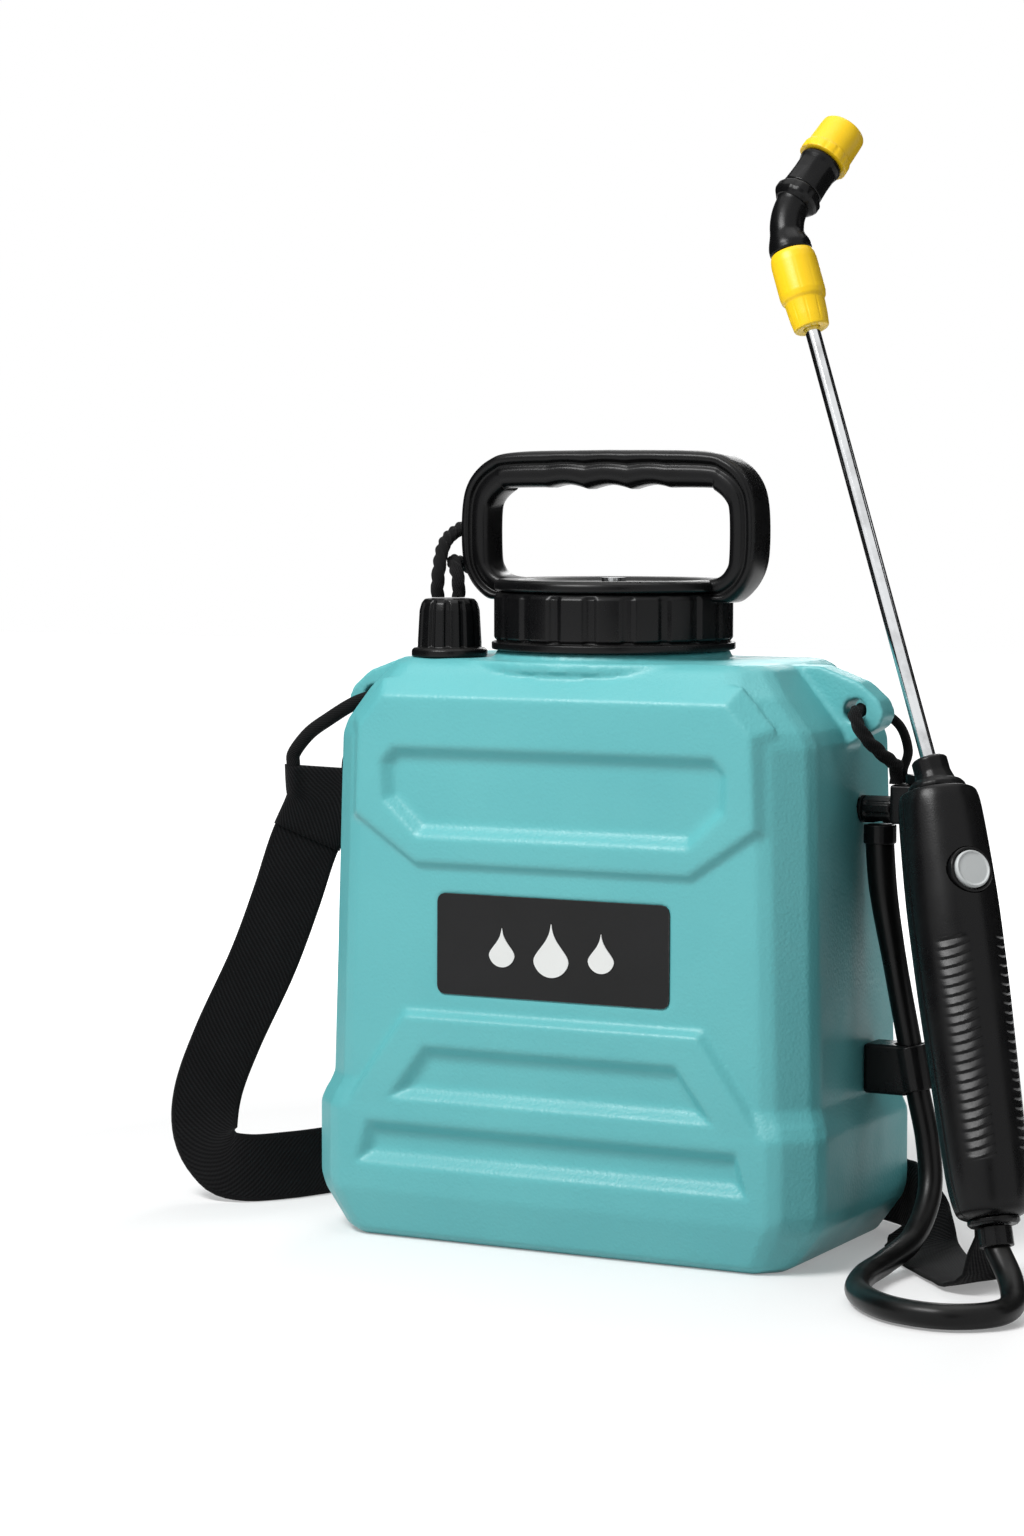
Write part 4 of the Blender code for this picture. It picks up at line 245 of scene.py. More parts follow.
def through(points, spacing):
    """Even points on a smooth curve through the given ones."""
    points = [Vector(p) for p in points]
    ends = [2 * points[0] - points[1], *points, 2 * points[-1] - points[-2]]
    fine = []
    for a, b, c, d in zip(ends, ends[1:], ends[2:], ends[3:]):
        for i in range(24):
            t = i / 24
            near = b * 2 + (c - a) * t + (a * 2 - b * 5 + c * 4 - d) * t * t
            fine.append((near + (b * 3 - a - c * 3 + d) * t * t * t) / 2)
    fine.append(points[-1])
    return evened(fine, spacing)


def run_lengths(points):
    """How far along a line each of its points lies."""
    lengths = [0.0]
    for a, b in zip(points, points[1:]):
        lengths.append(lengths[-1] + (b - a).length)
    return lengths


def evened(fine, spacing):
    """The same line with even spacing."""
    lengths = run_lengths(fine)
    count = max(2, round(lengths[-1] / spacing) + 1)
    even = []
    k = 0
    for i in range(count):
        want = lengths[-1] * i / (count - 1)
        while k < len(fine) - 2 and lengths[k + 1] < want:
            k += 1
        share = (want - lengths[k]) / max(1e-9, lengths[k + 1] - lengths[k])
        even.append(fine[k].lerp(fine[k + 1], share))
    return even


def nearest(points, spot):
    """Which of the points lies nearest to the spot."""
    return min(range(len(points)), key=lambda i: (points[i] - spot).length)


def length_of(points):
    return sum((b - a).length for a, b in zip(points, points[1:]))


def rounded(points, reach, steps=3):
    """A profile with its corners eased over this reach."""
    points = [Vector(p) for p in points]
    out = [points[0]]
    for a, b, c in zip(points, points[1:], points[2:]):
        near = b + (a - b).normalized() * min(reach, (a - b).length * 0.45)
        far = b + (c - b).normalized() * min(reach, (c - b).length * 0.45)
        for i in range(steps + 1):
            t = i / steps
            out.append(near * (1 - t) ** 2 + b * (2 * t * (1 - t)) + far * t * t)
    out.append(points[-1])
    return out


def shown(name, bm, smooth=True):
    """The finished mesh as an object of the scene."""
    bmesh.ops.recalc_face_normals(bm, faces=bm.faces)
    for face in bm.faces:
        face.smooth = smooth
    mesh = bpy.data.meshes.new(name)
    bm.to_mesh(mesh)
    bm.free()
    piece = bpy.data.objects.new(name, mesh)
    bpy.context.scene.collection.objects.link(piece)
    return piece


def skin_into(bm, rings, ends=True, looped=False, marks=None):
    """Faces over a row of rings of equal count; marks are each ring's place along the piece."""
    uv = bm.loops.layers.uv.verify()
    grid = [[bm.verts.new(p) for p in ring] for ring in rings]
    count = len(grid[0])
    rows = list(zip(grid, grid[1:]))
    if looped:
        rows.append((grid[-1], grid[0]))
    for r, (low, high) in enumerate(rows):
        start = marks[r] if marks else float(r)
        stop = marks[r + 1] if marks and r + 1 < len(marks) else start + 1.0
        for i in range(count):
            j = (i + 1) % count
            face = bm.faces.new((low[i], low[j], high[j], high[i]))
            corners = ((i, start), (i + 1, start), (i + 1, stop), (i, stop))
            for loop, (u, v) in zip(face.loops, corners):
                loop[uv].uv = (u / count, v)
    if ends and not looped:
        bm.faces.new(reversed(grid[0]))
        bm.faces.new(grid[-1])
    return grid


def carried(points):
    """Frames that follow a line without twisting: (place, along, side, up)."""
    out = []
    up = None
    for i, p in enumerate(points):
        along = (points[min(i + 1, len(points) - 1)] - points[max(i - 1, 0)]).normalized()
        if up is None:
            hint = Vector((0.0, 0.0, 1.0)) if abs(along.z) < 0.8 else Vector((1.0, 0.0, 0.0))
            up = (hint - along * hint.dot(along)).normalized()
        up = (up - along * up.dot(along)).normalized()
        out.append((p, along, along.cross(up), up))
    return out


def swept(name, points, sides, radius):
    """A round skin along a line; radius(distance, angle) gives its size."""
    bm = bmesh.new()
    rings = []
    marks = run_lengths(points)
    for (p, _, side, up), gone in zip(carried(points), marks):
        ring = []
        for i in range(sides):
            angle = math.tau * i / sides
            r = radius(gone, angle)
            ring.append(p + side * (r * math.cos(angle)) + up * (r * math.sin(angle)))
        rings.append(ring)
    skin_into(bm, rings, marks=marks)
    return shown(name, bm)


def spun(name, profile, steps, place=None, swell=None, looped=False):
    """A turned shape from (radius, height) points; swell(angle, r, z) changes the radius."""
    place = place or Matrix.Identity(4)
    bm = bmesh.new()
    rings = []
    for r, z in profile:
        ring = []
        for i in range(steps):
            angle = math.tau * i / steps
            size = swell(angle, r, z) if swell else r
            ring.append(place @ Vector((size * math.cos(angle), size * math.sin(angle), z)))
        rings.append(ring)
    skin_into(bm, rings, ends=not looped, looped=looped)
    return shown(name, bm)


def settled(piece):
    """The piece with its modifiers worked into its mesh."""
    bpy.context.view_layer.update()
    whole = piece.evaluated_get(bpy.context.evaluated_depsgraph_get())
    mesh = bpy.data.meshes.new_from_object(whole)
    piece.modifiers.clear()
    piece.data = mesh
    return piece


def softened(node, voxel, rounds, swellings=()):
    """A copy of a moulded solid with soft edges, and with swellings worked in."""
    bm = bmesh.new()
    bm.from_mesh(frame["nodes"][node].data)
    for rings in swellings:
        skin_into(bm, rings)
    piece = shown(node + "_moulded", bm)
    remesh = piece.modifiers.new("even_skin", "REMESH")
    remesh.mode = "VOXEL"
    remesh.voxel_size = voxel
    remesh.use_smooth_shade = True
    ease = piece.modifiers.new("eased", "SMOOTH")
    ease.factor = 0.5
    ease.iterations = rounds
    settled(piece)
    piece.data.materials.clear()
    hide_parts(node)
    return piece


# Finishes

def linear(red, green, blue):
    """A colour given as 0 to 255 steps, as the shader takes it."""
    out = []
    for step in (red, green, blue):
        share = step / 255.0
        out.append(share / 12.92 if share <= 0.04045 else ((share + 0.055) / 1.055) ** 2.4)
    return (*out, 1.0)


def new_group(name, inputs, outputs):
    """An empty shader group with value sockets: its tree, inlet and outlet."""
    group = bpy.data.node_groups.new(name, "ShaderNodeTree")
    kind = "NodeSocketFloat"
    for label, start in inputs:
        socket = group.interface.new_socket(name=label, in_out="INPUT", socket_type=kind)
        socket.default_value = start
    for label in outputs:
        group.interface.new_socket(name=label, in_out="OUTPUT", socket_type=kind)
    inlet = group.nodes.new("NodeGroupInput")
    outlet = group.nodes.new("NodeGroupOutput")
    return group, inlet, outlet


def math_node(tree, kind, a, b=None, clamp=False):
    """A maths node on two sockets or numbers; gives its result."""
    node = tree.nodes.new("ShaderNodeMath")
    node.operation = kind
    node.use_clamp = clamp
    for slot, value in enumerate((a, b)):
        if value is None:
            continue
        if isinstance(value, (int, float)):
            node.inputs[slot].default_value = value
        else:
            tree.links.new(value, node.inputs[slot])
    return node.outputs[0]


def times(tree, a, b):
    return math_node(tree, "MULTIPLY", a, b)


def weighted(tree, *terms):
    """The sum of values, each times its weight."""
    total = None
    for value, weight in terms:
        term = times(tree, value, weight)
        total = term if total is None else math_node(tree, "ADD", total, term)
    return total


def noise(tree, where, scale, detail=3.0, rough=0.5):
    """A noise pattern's value at these coordinates."""
    node = tree.nodes.new("ShaderNodeTexNoise")
    node.inputs["Detail"].default_value = detail
    node.inputs["Roughness"].default_value = rough
    tree.links.new(where, node.inputs["Vector"])
    if isinstance(scale, (int, float)):
        node.inputs["Scale"].default_value = scale
    else:
        tree.links.new(scale, node.inputs["Scale"])
    return node.outputs["Fac"]


def places(tree, kind="Object"):
    return tree.nodes.new("ShaderNodeTexCoord").outputs[kind]


def ranged(tree, value, low, high, to_low, to_high):
    """The value moved from one range to another and held inside it."""
    node = tree.nodes.new("ShaderNodeMapRange")
    node.clamp = True
    slots = ("From Min", "From Max", "To Min", "To Max")
    for slot, number in zip(slots, (low, high, to_low, to_high)):
        node.inputs[slot].default_value = number
    tree.links.new(value, node.inputs["Value"])
    return node.outputs["Result"]


def make_grain_group():
    """Pebbled skin of a moulding: its height, its uneven gloss and its slow colour drift."""
    group, inlet, outlet = new_group(
        "moulded_grain", (("Pebble", 900.0), ("Swell", 60.0)), ("Height", "Gloss", "Drift")
    )
    where = places(group)
    cells = group.nodes.new("ShaderNodeTexVoronoi")
    cells.feature = "SMOOTH_F1"
    group.links.new(where, cells.inputs["Vector"])
    group.links.new(inlet.outputs["Pebble"], cells.inputs["Scale"])
    pebble = noise(group, where, inlet.outputs["Pebble"], 2.0, 0.55)
    swell = noise(group, where, inlet.outputs["Swell"], 2.0)
    height = weighted(group, (cells.outputs["Distance"], 0.55), (pebble, 0.45), (swell, 0.35))
    group.links.new(height, outlet.inputs["Height"])
    group.links.new(weighted(group, (swell, 0.7), (pebble, 0.3)), outlet.inputs["Gloss"])
    group.links.new(noise(group, where, 14.0, 2.0), outlet.inputs["Drift"])
    return group


def make_edge_wear_and_highlight_group():
    """Lighter edges, for handling wear and as a painted edge highlight: a mask along the corners,
    broken up.
    """
    group, inlet, outlet = new_group(
        "edge_wear_and_painted_highlight", (("Reach", 0.0012), ("Breakup", 180.0)), ("Mask",)
    )
    turned_in = group.nodes.new("ShaderNodeBevel")
    turned_in.samples = 4
    group.links.new(inlet.outputs["Reach"], turned_in.inputs["Radius"])
    plain = group.nodes.new("ShaderNodeNewGeometry")
    compare = group.nodes.new("ShaderNodeVectorMath")
    compare.operation = "DOT_PRODUCT"
    group.links.new(turned_in.outputs["Normal"], compare.inputs[0])
    group.links.new(plain.outputs["Normal"], compare.inputs[1])
    edge = ranged(group, compare.outputs["Value"], 0.995, 0.9, 0.0, 1.0)
    broken = noise(group, places(group), inlet.outputs["Breakup"], 4.0, 0.6)
    patch = ranged(group, broken, 0.38, 0.62, 0.15, 1.0)
    group.links.new(times(group, edge, patch), outlet.inputs["Mask"])
    return group


def make_dust_group():
    """Fine dust that settles where a face looks up."""
    group, inlet, outlet = new_group("settled_dust", (("Spread", 45.0),), ("Mask",))
    plain = group.nodes.new("ShaderNodeNewGeometry")
    split = group.nodes.new("ShaderNodeSeparateXYZ")
    group.links.new(plain.outputs["Normal"], split.inputs[0])
    up = ranged(group, split.outputs["Z"], 0.35, 1.0, 0.0, 1.0)
    spread = noise(group, places(group), inlet.outputs["Spread"], 5.0, 0.65)
    patch = ranged(group, spread, 0.42, 0.75, 0.0, 1.0)
    group.links.new(times(group, up, patch), outlet.inputs["Mask"])
    return group


def make_scuff_group():
    """Hairline scratches in two directions."""
    group, inlet, outlet = new_group("hair_scratches", (("Density", 240.0),), ("Mask",))
    total = None
    for stretch, turn in (((1.0, 14.0, 1.0), 0.5), ((14.0, 1.0, 3.0), 1.2)):
        mapping = group.nodes.new("ShaderNodeMapping")
        mapping.inputs["Scale"].default_value = stretch
        mapping.inputs["Rotation"].default_value = (turn, turn * 0.6, turn * 1.7)
        group.links.new(places(group), mapping.inputs["Vector"])
        drawn = noise(group, mapping.outputs["Vector"], inlet.outputs["Density"], 2.0)
        lines = ranged(group, drawn, 0.66, 0.72, 0.0, 1.0)
        total = lines if total is None else math_node(group, "MAXIMUM", total, lines)
    group.links.new(total, outlet.inputs["Mask"])
    return group


def make_twill_group():
    """Slanted weave in metres across and along the webbing: height and tone."""
    group, inlet, outlet = new_group(
        "twill_weave", (("Across", 0.11), ("Pitch", 700.0)), ("Height", "Tone")
    )
    split = group.nodes.new("ShaderNodeSeparateXYZ")
    group.links.new(places(group, "UV"), split.inputs[0])
    pitch = inlet.outputs["Pitch"]
    across = times(group, split.outputs["X"], inlet.outputs["Across"])
    along = split.outputs["Y"]
    slant = math_node(group, "ADD", across, times(group, along, 0.62))
    wave = math_node(group, "SINE", times(group, slant, times(group, pitch, 6.2832)))
    rows = math_node(group, "SINE", times(group, along, times(group, pitch, 9.0)))
    rib = ranged(group, wave, -1.0, 1.0, 0.0, 1.0)
    yarn = ranged(group, rows, -1.0, 1.0, 0.0, 1.0)
    fuzz = noise(group, places(group), 2600.0, 3.0, 0.7)
    height = weighted(group, (rib, 0.65), (yarn, 0.2), (fuzz, 0.25))
    group.links.new(height, outlet.inputs["Height"])
    faded = ranged(group, noise(group, places(group), 70.0, 3.0), 0.3, 0.7, 0.75, 1.1)
    group.links.new(times(group, height, faded), outlet.inputs["Tone"])
    return group


GRAIN = make_grain_group()
EDGE_WEAR_AND_HIGHLIGHT = make_edge_wear_and_highlight_group()
DUST = make_dust_group()
SCUFF = make_scuff_group()
TWILL = make_twill_group()


def new_finish(name, **values):
    """A material with one shader, its constants set on the shader's own sockets."""
    finish = bpy.data.materials.new(name)
    finish.use_nodes = True
    tree = finish.node_tree
    shader = tree.nodes["Principled BSDF"]
    for socket, value in values.items():
        shader.inputs[socket.replace("_", " ")].default_value = value
    return finish, tree, shader


def use_group(tree, group, **values):
    node = tree.nodes.new("ShaderNodeGroup")
    node.node_tree = group
    for socket, value in values.items():
        node.inputs[socket].default_value = value
    return node.outputs


def blended(tree, share, first, second):
    """One colour turning into another by a share."""
    node = tree.nodes.new("ShaderNodeMix")
    node.data_type = "RGBA"
    tree.links.new(share, node.inputs["Factor"])
    for slot, value in (("A", first), ("B", second)):
        socket = [s for s in node.inputs if s.name == slot and s.type == "RGBA"][0]
        if isinstance(value, tuple):
            socket.default_value = value
        else:
            tree.links.new(value, socket)
    return [s for s in node.outputs if s.type == "RGBA"][0]


def raised(tree, shader, height, depth, strength=1.0):
    """Bump on the shader from a height that is this deep in metres."""
    bump = tree.nodes.new("ShaderNodeBump")
    bump.inputs["Distance"].default_value = depth
    bump.inputs["Strength"].default_value = strength
    tree.links.new(height, bump.inputs["Height"])
    tree.links.new(bump.outputs["Normal"], shader.inputs["Normal"])


def plastic(name, colour, drift, worn_and_highlit_edge_colour, gloss, pebble, depth, edge=0.0012, dust=0.03, **values):
    """A moulded plastic: grain, slow colour drift, edges lightened for wear and as a painted
    highlight, hairlines and a little dust.
    """
    finish, tree, shader = new_finish(name, **values)
    grain = use_group(tree, GRAIN, Pebble=pebble)
    edge_wear_and_highlight_mask = use_group(tree, EDGE_WEAR_AND_HIGHLIGHT, Reach=edge)["Mask"]
    scuff = use_group(tree, SCUFF)["Mask"]
    settled_on = use_group(tree, DUST)["Mask"]
    base = blended(tree, ranged(tree, grain["Drift"], 0.3, 0.7, 0.0, 1.0), colour, drift)
    # Edge colour along the corners: handling wear on most parts, and a painted rim highlight on the
    # label plate.
    base = blended(tree, times(tree, edge_wear_and_highlight_mask, 0.55), base, worn_and_highlit_edge_colour)
    base = blended(tree, times(tree, settled_on, dust), base, linear(196, 194, 188))
    tree.links.new(base, shader.inputs["Base Color"])
    rough = ranged(tree, grain["Gloss"], 0.3, 0.7, gloss[0], gloss[1])
    rough = math_node(tree, "ADD", rough, times(tree, scuff, 0.1))
    rough = math_node(tree, "ADD", rough, times(tree, settled_on, 0.12), clamp=True)
    tree.links.new(rough, shader.inputs["Roughness"])
    raised(tree, shader, grain["Height"], depth)
    return finish


def webbing_finish(name, colour, high, across, pitch):
    """Woven black yarn with a soft sheen."""
    finish, tree, shader = new_finish(
        name, Sheen_Weight=0.05, Sheen_Roughness=0.45, Specular_IOR_Level=0.08
    )
    weave = use_group(tree, TWILL, Across=across, Pitch=pitch)
    base = blended(tree, weave["Tone"], colour, high)
    tree.links.new(base, shader.inputs["Base Color"])
    tree.links.new(ranged(tree, weave["Height"], 0.2, 0.9, 0.92, 0.7), shader.inputs["Roughness"])
    raised(tree, shader, weave["Height"], 0.00035)
    return finish


def steel_finish():
    """Bright drawn steel with fine lines along its length and faint water marks."""
    finish, tree, shader = new_finish("polished_steel_drawn", Metallic=1.0)
    where = places(tree)
    mapping = tree.nodes.new("ShaderNodeMapping")
    mapping.inputs["Scale"].default_value = (60.0, 60.0, 1.2)
    tree.links.new(where, mapping.inputs["Vector"])
    lines = noise(tree, mapping.outputs["Vector"], 40.0, 3.0)
    marks = noise(tree, where, 55.0, 4.0, 0.65)
    stained = ranged(tree, marks, 0.45, 0.75, 0.0, 1.0)
    base = blended(tree, stained, linear(226, 228, 230), linear(188, 189, 190))
    tree.links.new(base, shader.inputs["Base Color"])
    drawn = ranged(tree, lines, 0.3, 0.7, 0.05, 0.13)
    rough = math_node(tree, "ADD", drawn, times(tree, marks, 0.06))
    tree.links.new(rough, shader.inputs["Roughness"])
    raised(tree, shader, lines, 0.000006)
    return finish


FINISHES = {
    "teal_polyethylene": plastic(
        "teal_moulding", linear(100, 184, 187), linear(95, 179, 183), linear(146, 208, 209),
        (0.36, 0.48), pebble=640.0, depth=0.00022, edge=0.0025, Specular_IOR_Level=0.5,
    ),
    "black_plastic": plastic(
        "black_moulding", linear(11, 11, 12), linear(14, 14, 15), linear(36, 36, 35), (0.22, 0.36),
        pebble=1300.0, depth=0.00003, Specular_IOR_Level=0.18,
    ),
    # The label's pale grey edge colour is a painted rim highlight round the plate, not wear.
    "label_charcoal": plastic(
        "label_charcoal_satin", linear(26, 26, 26), linear(30, 30, 31), linear(110, 110, 108),
        (0.4, 0.52), pebble=1800.0, depth=0.00003, edge=0.0006, Specular_IOR_Level=0.18,
    ),
    "black_rubber": plastic(
        "black_hose_skin", linear(9, 9, 10), linear(13, 13, 13), linear(28, 28, 27),
        (0.26, 0.38), pebble=1500.0, depth=0.00003, dust=0.04, Specular_IOR_Level=0.2,
    ),
    "black_webbing": webbing_finish(
        "black_twill", linear(7, 7, 8), linear(27, 27, 28), 0.0744, 620.0
    ),
    "black_cord": webbing_finish("black_braid", linear(8, 8, 8), linear(29, 29, 30), 0.022, 900.0),
    "yellow_plastic": plastic(
        "yellow_moulding", linear(254, 211, 30), linear(250, 203, 22), linear(255, 226, 104),
        (0.3, 0.42), pebble=1100.0, depth=0.00004, Specular_IOR_Level=0.4,
    ),
    "polished_steel": steel_finish(),
    "grey_button": plastic(
        "grey_button_satin", linear(196, 200, 200), linear(203, 207, 207), linear(228, 230, 230),
        (0.34, 0.46), pebble=1600.0, depth=0.00003, edge=0.0006,
    ),
    "natural_plastic": plastic(
        "natural_moulding", linear(214, 212, 202), linear(206, 204, 192), linear(226, 224, 216),
        (0.38, 0.5), pebble=1000.0, depth=0.00004, dust=0.05,
    ),
}


def finish_nodes():
    """Every solid that stays in sight takes its slot's finish."""
    for part in frame["record"]["subparts"]:
        solid = frame["nodes"][part["node"]]
        finish = FINISHES[part["material_slot"]]
        if not solid.material_slots:
            solid.data.materials.append(finish)
        for slot in solid.material_slots:
            slot.material = finish


def dressed(piece, slot, body, *nodes):
    """Gives a piece its finish, its body and the solids that it stands for."""
    piece.data.materials.clear()
    piece.data.materials.append(FINISHES[slot])
    if body:
        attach(piece, body)
    if nodes:
        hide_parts(*nodes)
    return piece


# Tank and its fittings

RECESS_HALVES = (
    ((0.085, 0.2405), (0.091, 0.234), (0.09, 0.2165), (0.072, 0.2)),
    ((0.067, 0.0955), (0.085, 0.0715)),
    ((0.098, 0.0565), (0.103, 0.039)),
)
RECESS_SINK = 0.002
RECESS_SLOPE = (-0.0035, 0.0075)
FACE_FROM = 0.05


def recess_sides(half):
    """The sides of a recess as (point, inward way), from its top middle to its bottom middle."""
    corners = [Vector(p) for p in ((0.0, half[0][1]), *half, (0.0, half[-1][1]))]
    middle = Vector((0.0, (half[0][1] + half[-1][1]) / 2))
    sides = []
    for a, b in zip(corners, corners[1:]):
        inward = Vector((b.y - a.y, a.x - b.x)).normalized()
        sides.append((a, inward if inward.dot(middle - a) > 0 else -inward))
    return sides


def sink_recesses(tank):
    """The recess floors lie a little deeper, with broad slopes round them, on both faces."""
    shapes = [(half, recess_sides(half)) for half in RECESS_HALVES]
    start, full = RECESS_SLOPE
    for vert in tank.data.vertices:
        x, y, z = vert.co
        if abs(y) < FACE_FROM:
            continue
        spot = Vector((abs(x), z))
        for half, sides in shapes:
            if not half[-1][1] - 0.01 < z < half[0][1] + 0.01:
                continue
            inside = min((spot - a).dot(way) for a, way in sides)
            if inside > start:
                vert.co.y -= math.copysign(RECESS_SINK * smooth_step(start, full, inside), y)


SWELLING_HALF = 0.056
SWELLING_LONG = 0.095
SWELLING_LEVELS = ((0.277, 0.0588), (0.2795, 0.0612), (0.2838, 0.0605))
TANK_VOXEL = 0.0013
TANK_ROUNDS = 7


def neck_swellings():
    """Shallow swellings of the front and rear slopes under the collar, as rows of outlines."""
    bow = []
    for i in range(33):
        x = SWELLING_HALF * (i / 16 - 1.0)
        bow.append((x, math.sqrt(1.0 - (x / SWELLING_LONG) ** 2)))
    return [
        [[(x, side * reach * y, z) for x, y in bow] for z, reach in SWELLING_LEVELS]
        for side in (-1.0, 1.0)
    ]


def make_tank():
    tank = softened("tank_shell", TANK_VOXEL, TANK_ROUNDS, neck_swellings())
    sink_recesses(tank)
    dressed(tank, "teal_polyethylene", "tank")


def make_label_print():
    """Three plain drops in pale ink on the label plate."""
    low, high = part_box("label_plate")
    lean = math.atan(0.002 / 0.176)
    face = Matrix.Translation((0.0, low[1], (low[2] + high[2]) / 2))
    face @= Matrix.Rotation(-lean, 4, "X")
    bm = bmesh.new()
    for x, size in ((-0.0265, 0.0072), (0.0, 0.0098), (0.0265, 0.0072)):
        outline = []
        for i in range(48):
            angle = math.tau * i / 48
            rise = math.sin(angle)
            point = 0.5 * (1.0 + rise) ** 3 / 8.0
            width = math.cos(angle) * (1.0 - 0.92 * smooth_step(-0.35, 1.0, rise))
            outline.append((x + size * width, size * (rise + 1.25 * point) - size * 0.35))
        rings = []
        for depth in (0.0006, -0.00012):
            rings.append([face @ Vector((px, depth, pz)) for px, pz in outline])
        skin_into(bm, rings)
    prints = shown("label_drops", bm, smooth=False)
    finish = plastic(
        "pale_label_ink", linear(232, 233, 231), linear(224, 226, 224), linear(246, 246, 244),
        (0.42, 0.56), pebble=1500.0, depth=0.00002, edge=0.0004, dust=0.04,
    )
    prints.data.materials.append(finish)
    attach(prints, "tank")


def make_small_fittings():
    """The mouldings and sleeves that keep the solids' shape, with eased edges."""
    for node, voxel, rounds, slot, body in (
        ("outlet_elbow", 0.00035, 4, "black_plastic", "tank"),
        ("hang_bracket", 0.00045, 5, "black_plastic", "tank"),
        ("hose_clip", 0.00055, 6, "black_plastic", "tank"),
        ("hose_ferrule_top", 0.00035, 4, "black_plastic", "tank"),
        ("hose_ferrule_grip", 0.00035, 4, "black_plastic", "wand"),
        ("hose_barb", 0.0004, 4, "black_plastic", "wand"),
        ("grip_nose", 0.0005, 5, "black_plastic", "wand"),
    ):
        dressed(softened(node, voxel, rounds), slot, body)


# Pump top

PAD_STEPS = 16


def pad_swell(count, depth, share):
    """Raised pads round a ring, with soft shoulders between narrow grooves."""
    def swell(angle, r, z):
        at = (angle / math.tau * count) % 1.0
        groove = 1.0 - smooth_step(share, share + 0.05, at) + smooth_step(0.95, 1.0, at)
        return r - depth * (1.0 - min(1.0, groove))
    return swell


def banded(pads, least, band):
    """Pads on a band of heights, and none on radii under the least one."""
    def swell(angle, r, z):
        return r if r < least else r + (pads(angle, r, z) - r) * between(*band, z)
    return swell


def make_collar():
    flange = COLLAR_BOTTOM + 0.0035
    wide, top, lip = COLLAR_RADIUS, COLLAR_TOP, COLLAR_LIP_RADIUS
    profile = (
        (COLLAR_BORE, COLLAR_BOTTOM), (COLLAR_FLANGE_RADIUS, COLLAR_BOTTOM),
        (COLLAR_FLANGE_RADIUS, flange), (wide - 0.0016, flange + 0.0004), (wide, flange + 0.0022),
        (wide, top - 0.003), (wide - 0.0016, top - 0.0008), (wide - 0.003, top), (lip, top),
        (lip, top - 0.0026), (COLLAR_BORE, top - 0.0026),
    )
    pads = pad_swell(COLLAR_PADS, 0.0014, 0.66)
    band = (flange, flange + 0.0016, top - 0.0022, top - 0.0012)
    swell = banded(pads, COLLAR_BORE + 0.002, band)
    ring = rounded(profile, 0.0007)
    collar = spun("collar_pads", ring, COLLAR_PADS * PAD_STEPS, None, swell, looped=True)
    dressed(collar, "black_plastic", "collar", "screw_collar")


def handle_lines(count):
    """Matching points, from the top middle to an arm, on the D loop's outside and its opening."""
    knee = HANDLE_POST * 1.7
    half, corner, top = HANDLE_HALF, HANDLE_CORNER, HANDLE_TOP
    arm = half - ARM_INNER
    outer = (
        (0.0, top + 0.0004), (half - corner * 1.15, top - 0.0004),
        (half - corner * 0.55, top - corner * 0.16), (half - corner * 0.16, top - corner * 0.52),
        (half, top - corner * 1.05), (half, BASE_TOP + knee * 0.45),
        (half - arm * 0.23, BASE_TOP - knee * 0.05),
        (half - arm * 0.65, BASE_BOTTOM - ARM_DROP * 0.8), (ARM_INNER, BASE_BOTTOM - ARM_DROP),
        (ARM_INNER - 0.004, BASE_BOTTOM - ARM_DROP * 0.9),
    )
    hole = half - HANDLE_POST
    bar = top - HANDLE_BAR
    fillet = corner * 0.5
    inner = (
        (0.0, bar), (hole - fillet, bar), (hole - fillet * 0.6, bar - fillet * 0.12),
        (hole - fillet * 0.15, bar - fillet * 0.5), (hole, bar - fillet),
        (hole, BASE_TOP + fillet * 0.9), (hole - fillet * 0.1, BASE_TOP + fillet * 0.45),
        (hole - fillet * 0.45, BASE_TOP + fillet * 0.12), (hole - fillet * 1.2, BASE_TOP),
        (ARM_INNER - 0.012, BASE_TOP - 0.0006),
    )
    halves = []
    for line in (outer, inner):
        line = [Vector(p).to_3d() for p in line]
        fine = through(line, 0.0002)
        marks = [nearest(fine, line[stop]) for stop in (0, 1, 4, 5, 9)]
        points = []
        for a, b, steps in zip(marks, marks[1:], count):
            run = fine[a:b + 1]
            even = evened(run, length_of(run) / steps)
            points += even if not points else even[1:]
        halves.append(points)
    return halves


def scallop(x):
    """How far the finger grooves lift the underside of the bar here."""
    at = x / SCALLOP_SPAN + 0.5
    if not 0.0 < at < 1.0:
        return 0.0
    lift = abs(math.sin(math.pi * SCALLOPS * at))
    return SCALLOP_DEPTH * (lift - 0.35) * between(0.0, 0.06, 0.94, 1.0, at)


